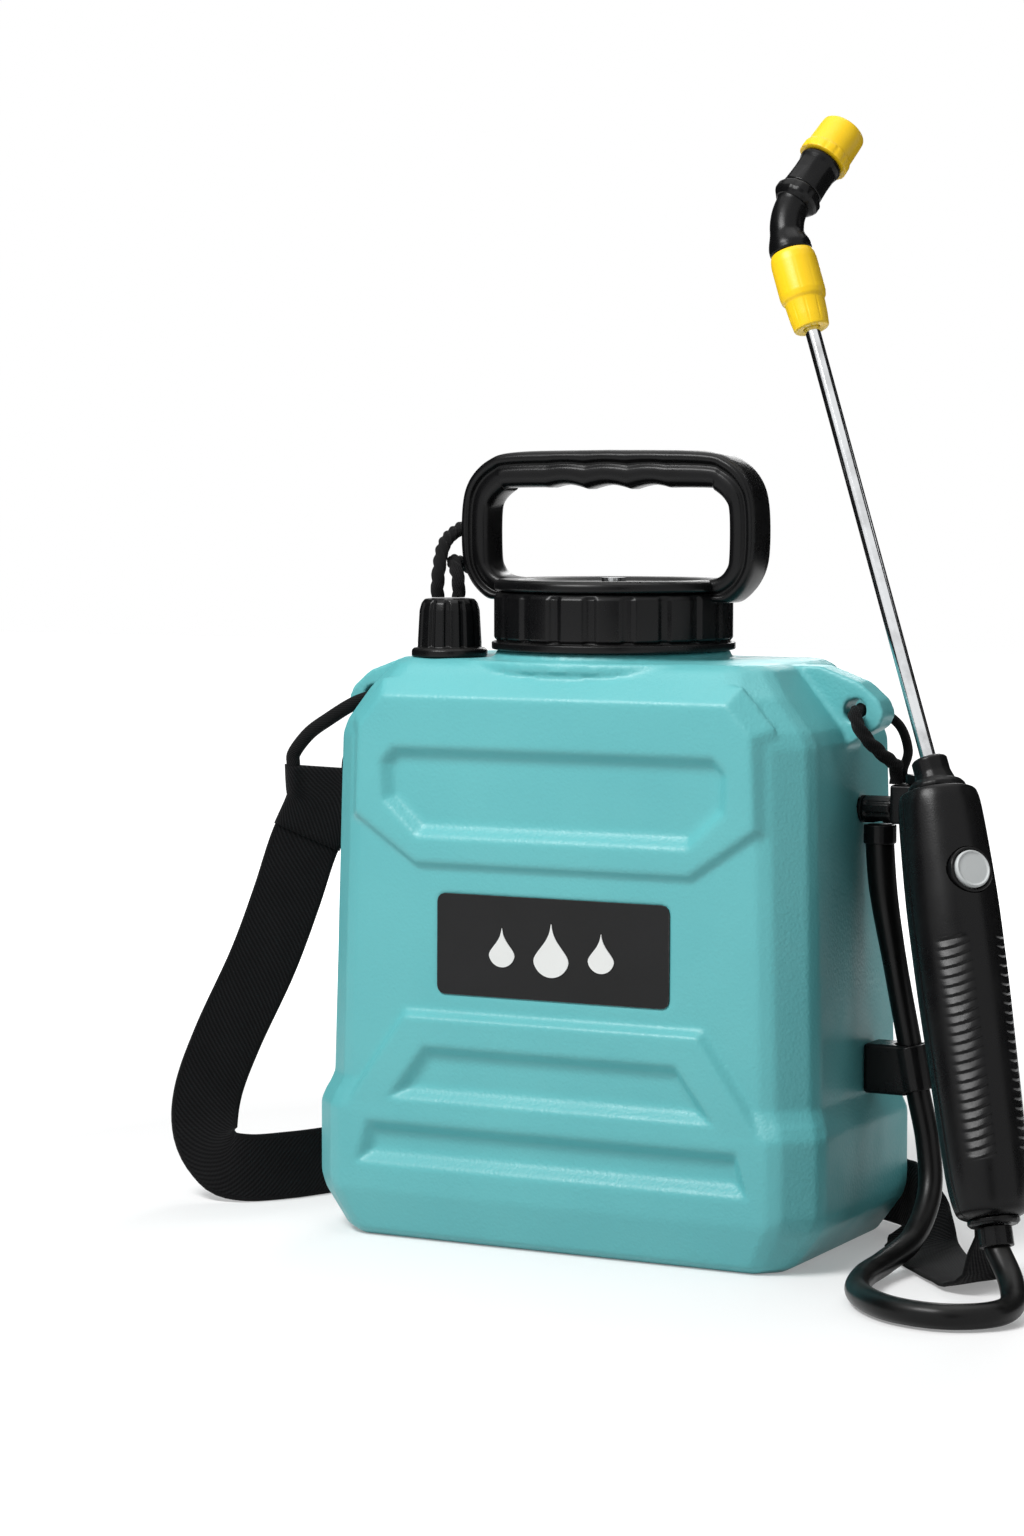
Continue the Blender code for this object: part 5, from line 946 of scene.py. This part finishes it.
def make_handle():
    face = (
        (0.0, 0.5), (0.018, 0.72), (0.06, 0.9), (0.12, 0.985), (0.19, 1.0), (0.26, 0.985),
        (0.3, 0.9), (0.33, 0.8), (0.37, 0.765), (0.42, 0.785), (0.47, 0.86), (0.53, 0.905),
        (0.7, 0.915), (0.83, 0.885), (0.92, 0.78), (0.975, 0.6), (1.0, 0.36),
    )
    section = [*face, *((v, -y) for v, y in reversed(face))]
    outer, inner = handle_lines((48, 26, 22, 26))
    rights = list(zip(outer, inner))
    lefts = [(Vector((-o.x, o.y, 0.0)), Vector((-i.x, i.y, 0.0))) for o, i in reversed(rights[1:])]
    bm = bmesh.new()
    rings = []
    for o, i in lefts + rights:
        lift = scallop(i.x) if i.y > BASE_TOP + 0.02 else 0.0
        lifted = Vector((i.x, i.y + lift, 0.0))
        ring = []
        for v, y in section:
            spot = o.lerp(lifted, v)
            ring.append(Vector((spot.x, -y * HANDLE_DEPTH / 2, spot.y)))
        rings.append(ring)
    skin_into(bm, rings)
    dressed(shown("handle_loop", bm), "black_plastic", "plunger", "pump_handle")
    wide, top = COLLAR_RADIUS, BASE_TOP
    base = (
        (0.0, top - 0.002), (0.044, top - 0.002), (0.0468, top - 0.0004), (0.0482, top),
        (wide - 0.0028, top), (wide - 0.0006, top - 0.0012), (wide, top - 0.0026),
        (wide, BASE_BOTTOM + 0.001), (wide - 0.001, BASE_BOTTOM), (0.0, BASE_BOTTOM),
    )
    disc = spun("handle_base", [(max(r, AXIS), z) for r, z in rounded(base, 0.0006)], 128)
    dressed(disc, "black_plastic", "plunger")


def make_relief_cap():
    place = Matrix.Translation(RELIEF_PLACE)
    flange = RELIEF_BOTTOM + 0.0042
    top = RELIEF_TOP
    profile = (
        (AXIS, top - 0.0012), (0.009, top), (0.0122, top - 0.0004), (0.0138, top - 0.0024),
        (0.0148, top - 0.006), (0.0157, flange + 0.002), (0.0157, flange + 0.0002),
        (0.0176, flange), (0.0187, flange - 0.0012), (0.0187, RELIEF_BOTTOM),
        (0.0109, RELIEF_BOTTOM), (0.0109, 0.301), (AXIS, 0.301),
    )
    pads = pad_swell(RELIEF_RIBS, 0.0013, 0.6)
    swell = banded(pads, 0.0112, (flange, flange + 0.0012, top - 0.0028, top - 0.0008))
    steps = RELIEF_RIBS * PAD_STEPS
    cap = spun("relief_cap_ribs", rounded(profile, 0.0006), steps, place, swell)
    dressed(cap, "black_plastic", "relief", "relief_cap")


# Strap

def strap_frames(spacing):
    fine = 0.0005
    centres = through([c for c, _ in STRAP_ROUTE], fine)
    stops = [nearest(centres, Vector(c)) for c, _ in STRAP_ROUTE]
    ways = [Vector(way).normalized() for _, way in STRAP_ROUTE]
    step = max(1, round(spacing / fine))
    out = []
    for i in list(range(0, len(centres) - 1, step)) + [len(centres) - 1]:
        k = max(j for j in range(len(stops)) if stops[j] <= i)
        k = min(k, len(stops) - 2)
        t = smooth_step(0.0, 1.0, (i - stops[k]) / max(1, stops[k + 1] - stops[k]))
        way = ways[k].lerp(ways[k + 1], t)
        along = (centres[min(i + 2, len(centres) - 1)] - centres[max(i - 2, 0)]).normalized()
        way = (way - along * way.dot(along)).normalized()
        out.append((centres[i], along, way, way.cross(along)))
    return out


def ribbon(name, frames, width, thick):
    """Flat webbing along frames, thinner and rounder at its woven edges."""
    half = width / 2
    edge = ((1.0, 0.25), (0.975, 0.62), (0.93, 0.86), (0.86, 0.8), (0.6, 0.97), (0.3, 1.0))
    face = [(-f, l) for f, l in edge] + [(0.0, 1.0)] + [*reversed(edge)]
    section = [(half * f, thick / 2 * l) for f, l in face]
    section += [(half * f, -thick / 2 * l) for f, l in reversed(face)]
    bm = bmesh.new()
    marks = run_lengths([f[0] for f in frames])
    rings = [[p + way * a + out * b for a, b in section] for p, _, way, out in frames]
    skin_into(bm, rings, marks=marks)
    return shown(name, bm), marks[-1]


CUFF_REACH = 0.03
CUFF_THICK = 0.0052
FOOT_SPREAD = 0.014


def make_cuff(frames):
    """The strap's end, doubled over and sewn round the two feet of the cord."""
    half = STRAP_WIDTH / 2 + 0.0006
    across = [half * math.sin(math.pi * (i / 36 - 0.5)) for i in range(37)]
    start, along, way, out = frames[0]
    rises = (0.007, 0.0067, 0.006, 0.0045, 0.003, 0.0015)
    run = [(start - along * rise, along, way, out) for rise in rises]
    run += [f for f in frames if (f[0] - start).length < CUFF_REACH]
    last = run[-1]
    run += [(last[0] + last[1] * step, *last[1:]) for step in (0.0004, 0.0007)]
    bm = bmesh.new()
    rings = []
    marks = run_lengths([f[0] for f in run])
    for (p, along, way, out), gone in zip(run, marks):
        swell = 1.0 - smooth_step(0.008, 0.026, gone)
        closing = 1.0
        for share in (gone / 0.001, (marks[-1] - gone) / 0.0007):
            closing *= math.sqrt(max(0.02, min(1.0, share)))
        ring = []
        for side, row in ((1.0, across), (-1.0, across[::-1])):
            for a in row:
                foot = math.exp(-((abs(a) - FOOT_SPREAD) / 0.004) ** 2)
                edge = math.sqrt(max(0.0, 1.0 - (a / half) ** 8))
                thick = (CUFF_THICK / 2 + 0.0019 * foot * swell) * edge * closing + 0.0002
                slant = along * (0.1 * a * (1.0 - smooth_step(0.004, 0.016, gone)))
                ring.append(p + way * a + out * (side * thick) + slant)
        rings.append(ring)
    skin_into(bm, rings, marks=marks)
    return shown("strap_cuff", bm)


def make_strap():
    frames = strap_frames(0.003)
    strap, length = ribbon("shoulder_webbing", frames, STRAP_WIDTH, STRAP_THICK)
    dressed(strap, "black_webbing", "tank", "left_strap", "rear_strap", "right_strap")
    cuff = dressed(make_cuff(frames), "black_webbing", "tank")


# Wand

GRIP_BELLY = 0.0213
GRIP_LINE = (
    (0.015, -0.0003), (0.0175, -0.0012), (0.0186, -0.004), (0.0193, -0.009), (0.02, -0.02),
    (0.0208, -0.038), (GRIP_BELLY, -0.056), (GRIP_BELLY, -0.08), (0.0211, -0.1), (0.0205, -0.123),
    (0.02, -0.146), (0.0195, -0.168), (0.0191, -0.18), (0.0184, -0.188), (0.0172, -0.1945),
    (0.0156, -0.198), (0.012, -0.2),
)
RIBS_FROM = 0.074
RIBS_TO = 0.174
RIB_PITCH = 0.0044
RIB_DEPTH = 0.0012
RIB_SLANT = 0.0012
RIB_FIELDS = ((-37.0, 23.0, 0.9), (42.0, 20.0, 0.5))
SCREW_DROPS = (0.088, 0.165)


def grip_swell(angle, r, z):
    """Finger slits on both sides of the button's line, and the seam of the two halves."""
    turn = (math.degrees(angle) + 180.0) % 360.0 - 180.0
    drop = -z
    seam = 0.0006 * (1.0 - smooth_step(0.0, 1.6, abs(abs(turn) - 90.0)))
    length = between(RIBS_FROM - 0.002, RIBS_FROM + 0.001, RIBS_TO - 0.001, RIBS_TO + 0.002, drop)
    size = r - seam
    for middle, half, share in RIB_FIELDS:
        off = (turn - middle) / half
        if abs(off) >= 1.0:
            continue
        fall = RIB_SLANT * off + 0.0012 * off * off
        at = ((drop - RIBS_FROM + fall) / RIB_PITCH) % 1.0
        gill = min(1.0, max(0.0, (at - 0.08) / 0.8)) - smooth_step(0.9, 1.0, at)
        size -= RIB_DEPTH * share * length * (1.0 - off * off) * (1.0 - gill)
    return size


def make_grip():
    line = through([Vector((r, z, 0.0)) for r, z in GRIP_LINE], 0.0004)
    grip = spun("grip_body", [p.xy for p in line], 216, WAND, grip_swell)
    holes = [(BUTTON, 0.0112, 0.0125, 0.03, 48)]
    for drop in SCREW_DROPS:
        spot = WAND @ Vector((0.0, 0.0, -drop))
        back = frame_at(spot, -WAND.col[0].to_3d(), GRIP_AXIS)
        holes.append((back, 0.0029, 0.006, 0.03, 24))
    cutters = []
    for at, radius, low, high, steps in holes:
        tool = spun("grip_hole", ((radius, low), (radius, high)), steps, at)
        cutters.append(tool)
        cut = grip.modifiers.new("hole", "BOOLEAN")
        cut.operation = "DIFFERENCE"
        cut.solver = "EXACT"
        cut.object = tool
    settled(grip)
    for tool in cutters:
        bpy.data.objects.remove(tool)
    dressed(grip, "black_plastic", "wand", "grip_front_shell", "grip_rear_shell")


def make_button():
    face = GRIP_BELLY * 0.985
    top = face + 0.0022
    dome = (
        (AXIS, top - 0.0005), (0.004, top - 0.0005), (0.0071, top - 0.0006), (0.0075, top - 0.0004),
        (0.0079, top), (0.0084, top - 0.0001), (BUTTON_RADIUS, top - 0.0009),
        (BUTTON_RADIUS, top - 0.0075), (AXIS, top - 0.0075),
    )
    button = spun("button_cap", rounded(dome, 0.0003), 72, BUTTON)
    dressed(button, "grey_button", "button", "spray_button")
    rim = (
        (0.0092, face - 0.0075), (0.0092, face - 0.0002), (0.0097, face + 0.0006),
        (0.0104, face + 0.0006), (0.0108, face + 0.0001), (0.0108, face - 0.0075),
    )
    ring = spun("button_rim", rounded(rim, 0.00025), 72, BUTTON, looped=True)
    dressed(ring, "black_plastic", "wand", "button_ring")


def make_spring():
    """The button's spring coil, in a mesh of its own."""
    bm = bmesh.new()
    bm.from_mesh(frame["nodes"]["button_spring"].data)
    spring = shown("button_spring_coil", bm)
    dressed(spring, "polished_steel", "wand", "button_spring")
    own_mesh(spring)


def make_tube():
    bore = TUBE_RADIUS * 0.7
    low = TUBE_START
    high = TUBE_END - GAP
    lip = 0.0003
    wide = TUBE_RADIUS
    pipe = [(bore, low + lip), (bore, low), (wide - lip, low), (wide, low + lip)]
    pipe.append((wide, low + 3 * lip))
    pipe += [(wide, low + (high - low) * i / 6) for i in range(1, 6)]
    pipe += [(wide, high - 3 * lip), (wide, high - lip), (wide - lip, high)]
    pipe += [(bore, high), (bore, high - lip)]
    tube = spun("steel_tube", pipe, 64, TUBE, looped=True)
    dressed(tube, "polished_steel", "wand", "wand_tube")


def make_nut():
    low = TUBE_END - 0.04
    waist = low + 0.0145
    hole = TUBE_RADIUS + GAP
    seat = hole + 0.0021
    top = TUBE_END
    profile = (
        (seat, top), (0.0101, top), (0.0109, top - 0.0022), (0.0113, top - 0.0052),
        (0.0113, waist + 0.0036), (0.0108, waist + 0.001), (0.0098, waist - 0.0004),
        (0.0093, low + 0.006), (0.0086, low + 0.0006), (0.008, low), (hole + 0.0003, low + 0.0003),
        (hole, low + 0.0008), (hole, top - 0.0024), (seat, top - 0.0024),
    )
    flats = 10

    def swell(angle, r, z):
        if r < 0.0084:
            return r
        at = (angle / math.tau * flats) % 1.0
        groove = between(0.0, 0.1, 0.9, 1.0, at)
        lower = between(low + 0.001, low + 0.003, waist - 0.0022, waist - 0.0006, z)
        upper = between(waist + 0.003, waist + 0.006, top - 0.011, top - 0.006, z)
        return r - 0.00035 * (1.0 - groove) * (lower + upper)

    outline = rounded(profile, 0.0006)
    nut = spun("tube_nut_grip", outline, flats * PAD_STEPS, TUBE, swell, looped=True)
    dressed(nut, "yellow_plastic", "nut", "tube_nut")


def make_elbow():
    flange = 0.0036
    near = ELBOW_START + TUBE_AXIS * (flange + 0.0012)
    end = NOZZLE_BASE - NOZZLE_AXIS * GAP
    far = end - NOZZLE_AXIS * (flange + 0.0012)
    line = [ELBOW_START]
    for i in range(21):
        t = i / 20
        line.append(near * (1 - t) ** 2 + ELBOW_CORNER * (2 * t * (1 - t)) + far * t * t)
    line.append(end)
    points = evened(line, 0.0004)
    total = length_of(points)

    def radius(gone, angle):
        left = total - gone
        first = 1.0 - smooth_step(flange - 0.001, flange + 0.0075, gone)
        first *= 0.85 + 0.15 * smooth_step(0.0, 0.0008, gone)
        return 0.0083 + 0.0021 * first + 0.0012 * (1.0 - smooth_step(0.004, 0.01, left))

    elbow = swept("elbow_pipe", points, 56, radius)
    dressed(elbow, "black_plastic", "head", "spray_elbow")
    collar = (
        (0.004, -0.0086), (0.009, -0.0086), (0.011, -0.007), (0.0118, -0.0052),
        (0.0118, -0.0016), (0.0106, -GAP), (0.004, -GAP),
    )

    def lugs(angle, r, z):
        if r < 0.0095:
            return r
        flat = math.cos((angle % (math.tau / 6)) - math.tau / 12) * 1.155
        corner = smooth_step(0.86, 1.0, 1.0 / max(flat, 0.5))
        lug = math.exp(-((abs(math.sin(angle)) - 1.0) / 0.045) ** 2)
        return r * (0.945 + 0.055 * corner + 0.1 * lug)

    ring = spun("elbow_collar", rounded(collar, 0.0005), 96, NOZZLE, lugs, looped=True)
    dressed(ring, "black_plastic", "head")


def make_nozzle():
    tip = 0.0325
    body = (
        (AXIS, tip), (0.007, tip), (0.007, 0.02), (0.0102, 0.0199), (0.0108, 0.019),
        (0.0108, 0.0176), (0.0103, 0.015), (0.0102, 0.009), (0.0104, 0.0006), (0.01, 0.0),
        (AXIS, 0.0),
    )
    flutes = 8

    def swell(angle, r, z):
        if r < 0.009:
            return r
        flat = between(0.0, 0.003, 0.015, 0.0176, z)
        return r - 0.0004 * flat * (0.5 + 0.5 * math.cos(flutes * angle))

    nozzle = spun("nozzle_barrel", rounded(body, 0.0005), 96, NOZZLE, swell)
    dressed(nozzle, "black_plastic", "head", "nozzle_body")
    low = 0.02 + GAP
    top = low + 0.0212
    cap = (
        (0.0016, top - 0.0024), (0.003, top - 0.0016), (0.006, top - 0.0012),
        (0.0083, top - 0.0002), (0.0106, top), (0.0114, top - 0.001), (0.0116, top - 0.004),
        (0.0119, low + 0.0058), (0.0127, low + 0.0046), (0.0128, low + 0.003), (0.0128, low),
        (0.0074, low), (0.0074, top - 0.003), (0.0016, top - 0.003),
    )
    knobs = 14

    def cap_swell(angle, r, z):
        if r < 0.0118 or z > low + 0.0052:
            return r
        return r - 0.0003 * (0.5 + 0.5 * math.cos(knobs * angle)) ** 4

    lip = spun("nozzle_cap_lip", rounded(cap, 0.0006), 112, NOZZLE, cap_swell, looped=True)
    dressed(lip, "yellow_plastic", "cap", "nozzle_cap")


# Cords and hose

def twisted(radius, groove, lay, strands):
    """The size of a cord laid from strands that wind round it."""
    def size(gone, angle):
        wave = math.cos(strands * angle - math.tau * gone / lay)
        turn = math.acos(max(-1.0, min(1.0, wave)))
        return radius + groove * (abs(math.sin(turn / 2)) - 1.0)
    return size


def plain(radius):
    """The size of a smooth cord."""
    return lambda gone, angle: radius


def hose_size(gone, angle):
    """The hose is stretched over its barb at the top and thins out below it."""
    return HOSE_RADIUS + HOSE_STRETCH * between(0.0, 0.003, 0.018, 0.075, gone)


def make_cords():
    """The hose and the four cords, each along its own line."""
    cap_size = twisted(LOOP_OUTER, 0.0009, 0.0078, 3)
    ear_size = twisted(EAR_CORD_RADIUS, 0.0008, 0.009, 3)
    loop_size, hook_size = plain(STRAP_CORD_RADIUS), plain(HOOK_CORD_RADIUS)
    for name, node, body, route, spacing, sides, radius, size in (
        ("hose_line", "hose", None, HOSE_ROUTE, 0.002, 28, HOSE_RADIUS, hose_size),
        ("cap_pull_cord", "cap_cord", "relief", CAP_LOOP_ROUTE, 0.0005, 20, LOOP_OUTER, cap_size),
        (
            "strap_ear_loop", "strap_loop", "tank", STRAP_LOOP_ROUTE, 0.001, 20, STRAP_CORD_RADIUS,
            loop_size,
        ),
        ("ear_tie_cord", "ear_cord", "tank", EAR_CORD_ROUTE, 0.0004, 20, EAR_CORD_RADIUS, ear_size),
        (
            "hook_tie_cord", "hook_cord", "tank", HOOK_CORD_ROUTE, 0.0008, 18, HOOK_CORD_RADIUS,
            hook_size,
        ),
    ):
        line = through(route, spacing)
        piece = swept(name, line, sides, size)
        dressed(piece, "black_rubber" if node == "hose" else "black_cord", body, node)
        if node == "hose":
            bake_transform(piece)


# Camera, light and floor

def make_camera():
    data = bpy.data.cameras.new("studio_camera")
    data.lens = CAMERA_LENS
    data.sensor_width = 36.0
    data.clip_end = 50.0
    camera = bpy.data.objects.new("studio_camera", data)
    camera.location = CAMERA_PLACE
    camera.rotation_euler = (math.pi / 2 - CAMERA_DIP, 0.0, CAMERA_TURN)
    bpy.context.scene.collection.objects.link(camera)
    bpy.context.scene.camera = camera


FLOOR_REACH = 6.0
FLOOR_GLOW = 0.26
WORLD_FILL = 0.19


def flat_card(name, width, height):
    """A flat oblong round its own middle."""
    bm = bmesh.new()
    corners = ((-1, -1), (1, -1), (1, 1), (-1, 1))
    bm.faces.new([bm.verts.new((width / 2 * x, height / 2 * y, 0.0)) for x, y in corners])
    return shown(name, bm, smooth=False)


def make_floor():
    floor = flat_card("studio_floor", 2 * FLOOR_REACH, 2 * FLOOR_REACH)
    paper, tree, shader = new_finish("studio_paper", Specular_IOR_Level=0.1, Roughness=0.8)
    grain = noise(tree, places(tree), 900.0, 3.0)
    base = blended(tree, grain, linear(218, 218, 218), linear(223, 223, 223))
    tree.links.new(base, shader.inputs["Base Color"])
    glow = tree.nodes.new("ShaderNodeEmission")
    away = tree.nodes.new("ShaderNodeVectorMath")
    away.operation = "LENGTH"
    tree.links.new(places(tree), away.inputs[0])
    level = ranged(tree, away.outputs["Value"], 0.4, 1.1, FLOOR_GLOW, 1.0)
    tree.links.new(seen_directly(tree, level), glow.inputs["Strength"])
    both = tree.nodes.new("ShaderNodeAddShader")
    tree.links.new(shader.outputs[0], both.inputs[0])
    tree.links.new(glow.outputs[0], both.inputs[1])
    tree.links.new(both.outputs[0], tree.nodes["Material Output"].inputs["Surface"])
    floor.data.materials.append(paper)


def seen_directly(tree, strength):
    """This strength for what the lens, a mirror or glass sees, and 0 for other light."""
    path = tree.nodes.new("ShaderNodeLightPath")
    total = math_node(tree, "MAXIMUM", path.outputs["Is Camera Ray"], path.outputs["Is Glossy Ray"])
    total = math_node(tree, "MAXIMUM", total, path.outputs["Is Transmission Ray"])
    return times(tree, total, strength)


def make_world():
    world = bpy.data.worlds.new("white_studio")
    bpy.context.scene.world = world
    world.use_nodes = True
    tree = world.node_tree
    sky = tree.nodes["Background"]
    sky.inputs["Color"].default_value = (1.0, 1.0, 1.0, 1.0)
    strength = math_node(tree, "MAXIMUM", seen_directly(tree, 1.0), WORLD_FILL)
    tree.links.new(strength, sky.inputs["Strength"])


def aimed(thing, place, target):
    """Puts a lamp or a card in its place and turns it to the target."""
    thing.location = place
    thing.rotation_euler = (Vector(target) - Vector(place)).to_track_quat("-Z", "Y").to_euler()


def make_lamp(name, place, target, size, power, tall=None):
    data = bpy.data.lights.new(name, "AREA")
    data.shape = "RECTANGLE"
    data.size = size
    data.size_y = tall or size
    data.energy = power
    lamp = bpy.data.objects.new(name, data)
    aimed(lamp, place, target)
    bpy.context.scene.collection.objects.link(lamp)


def make_flag(name, place, target, width, height):
    """A dark card that shows only in what shines, and gives round metal its dark lines."""
    card = flat_card(name, width, height)
    aimed(card, place, target)
    card.visible_camera = False
    card.visible_diffuse = False
    card.visible_shadow = False
    card.data.materials.append(FINISHES["black_webbing"])


def make_studio():
    make_world()
    make_floor()
    aim = (0.02, 0.0, 0.2)
    make_lamp("key_box", (-0.3, -0.95, 1.3), aim, 0.7, 21.0, 0.45)
    make_lamp("top_box", (0.1, 0.1, 1.9), aim, 1.2, 7.0)
    make_lamp("rim_box", (1.2, 0.9, 0.6), aim, 0.4, 1.4, 0.9)
    make_lamp("back_box", (-0.3, 1.7, 1.0), aim, 0.8, 9.0)
    post = Vector((0.12, 0.0, 0.4))
    for name, turn, off, width in (
        ("flag_left_front", -159.4, 1.3, 1.16), ("flag_left_rear", 155.6, 1.3, 1.16),
        ("flag_right_front", 34.6, 1.3, 1.16), ("flag_right_rear", 79.6, 1.3, 1.16),
        ("flag_front", -62.4, 2.6, 0.7),
    ):
        way = Vector((math.cos(math.radians(turn)), math.sin(math.radians(turn)), 0.0))
        make_flag(name, post + way * off, post, width, 2.4)
    bpy.context.scene.view_settings.view_transform = "Standard"


make_camera()
finish_nodes()
make_cords()
make_strap()
make_tank()
make_label_print()
make_small_fittings()
make_collar()
make_handle()
make_relief_cap()
make_grip()
make_button()
make_spring()
make_tube()
make_nut()
make_elbow()
make_nozzle()
make_studio()
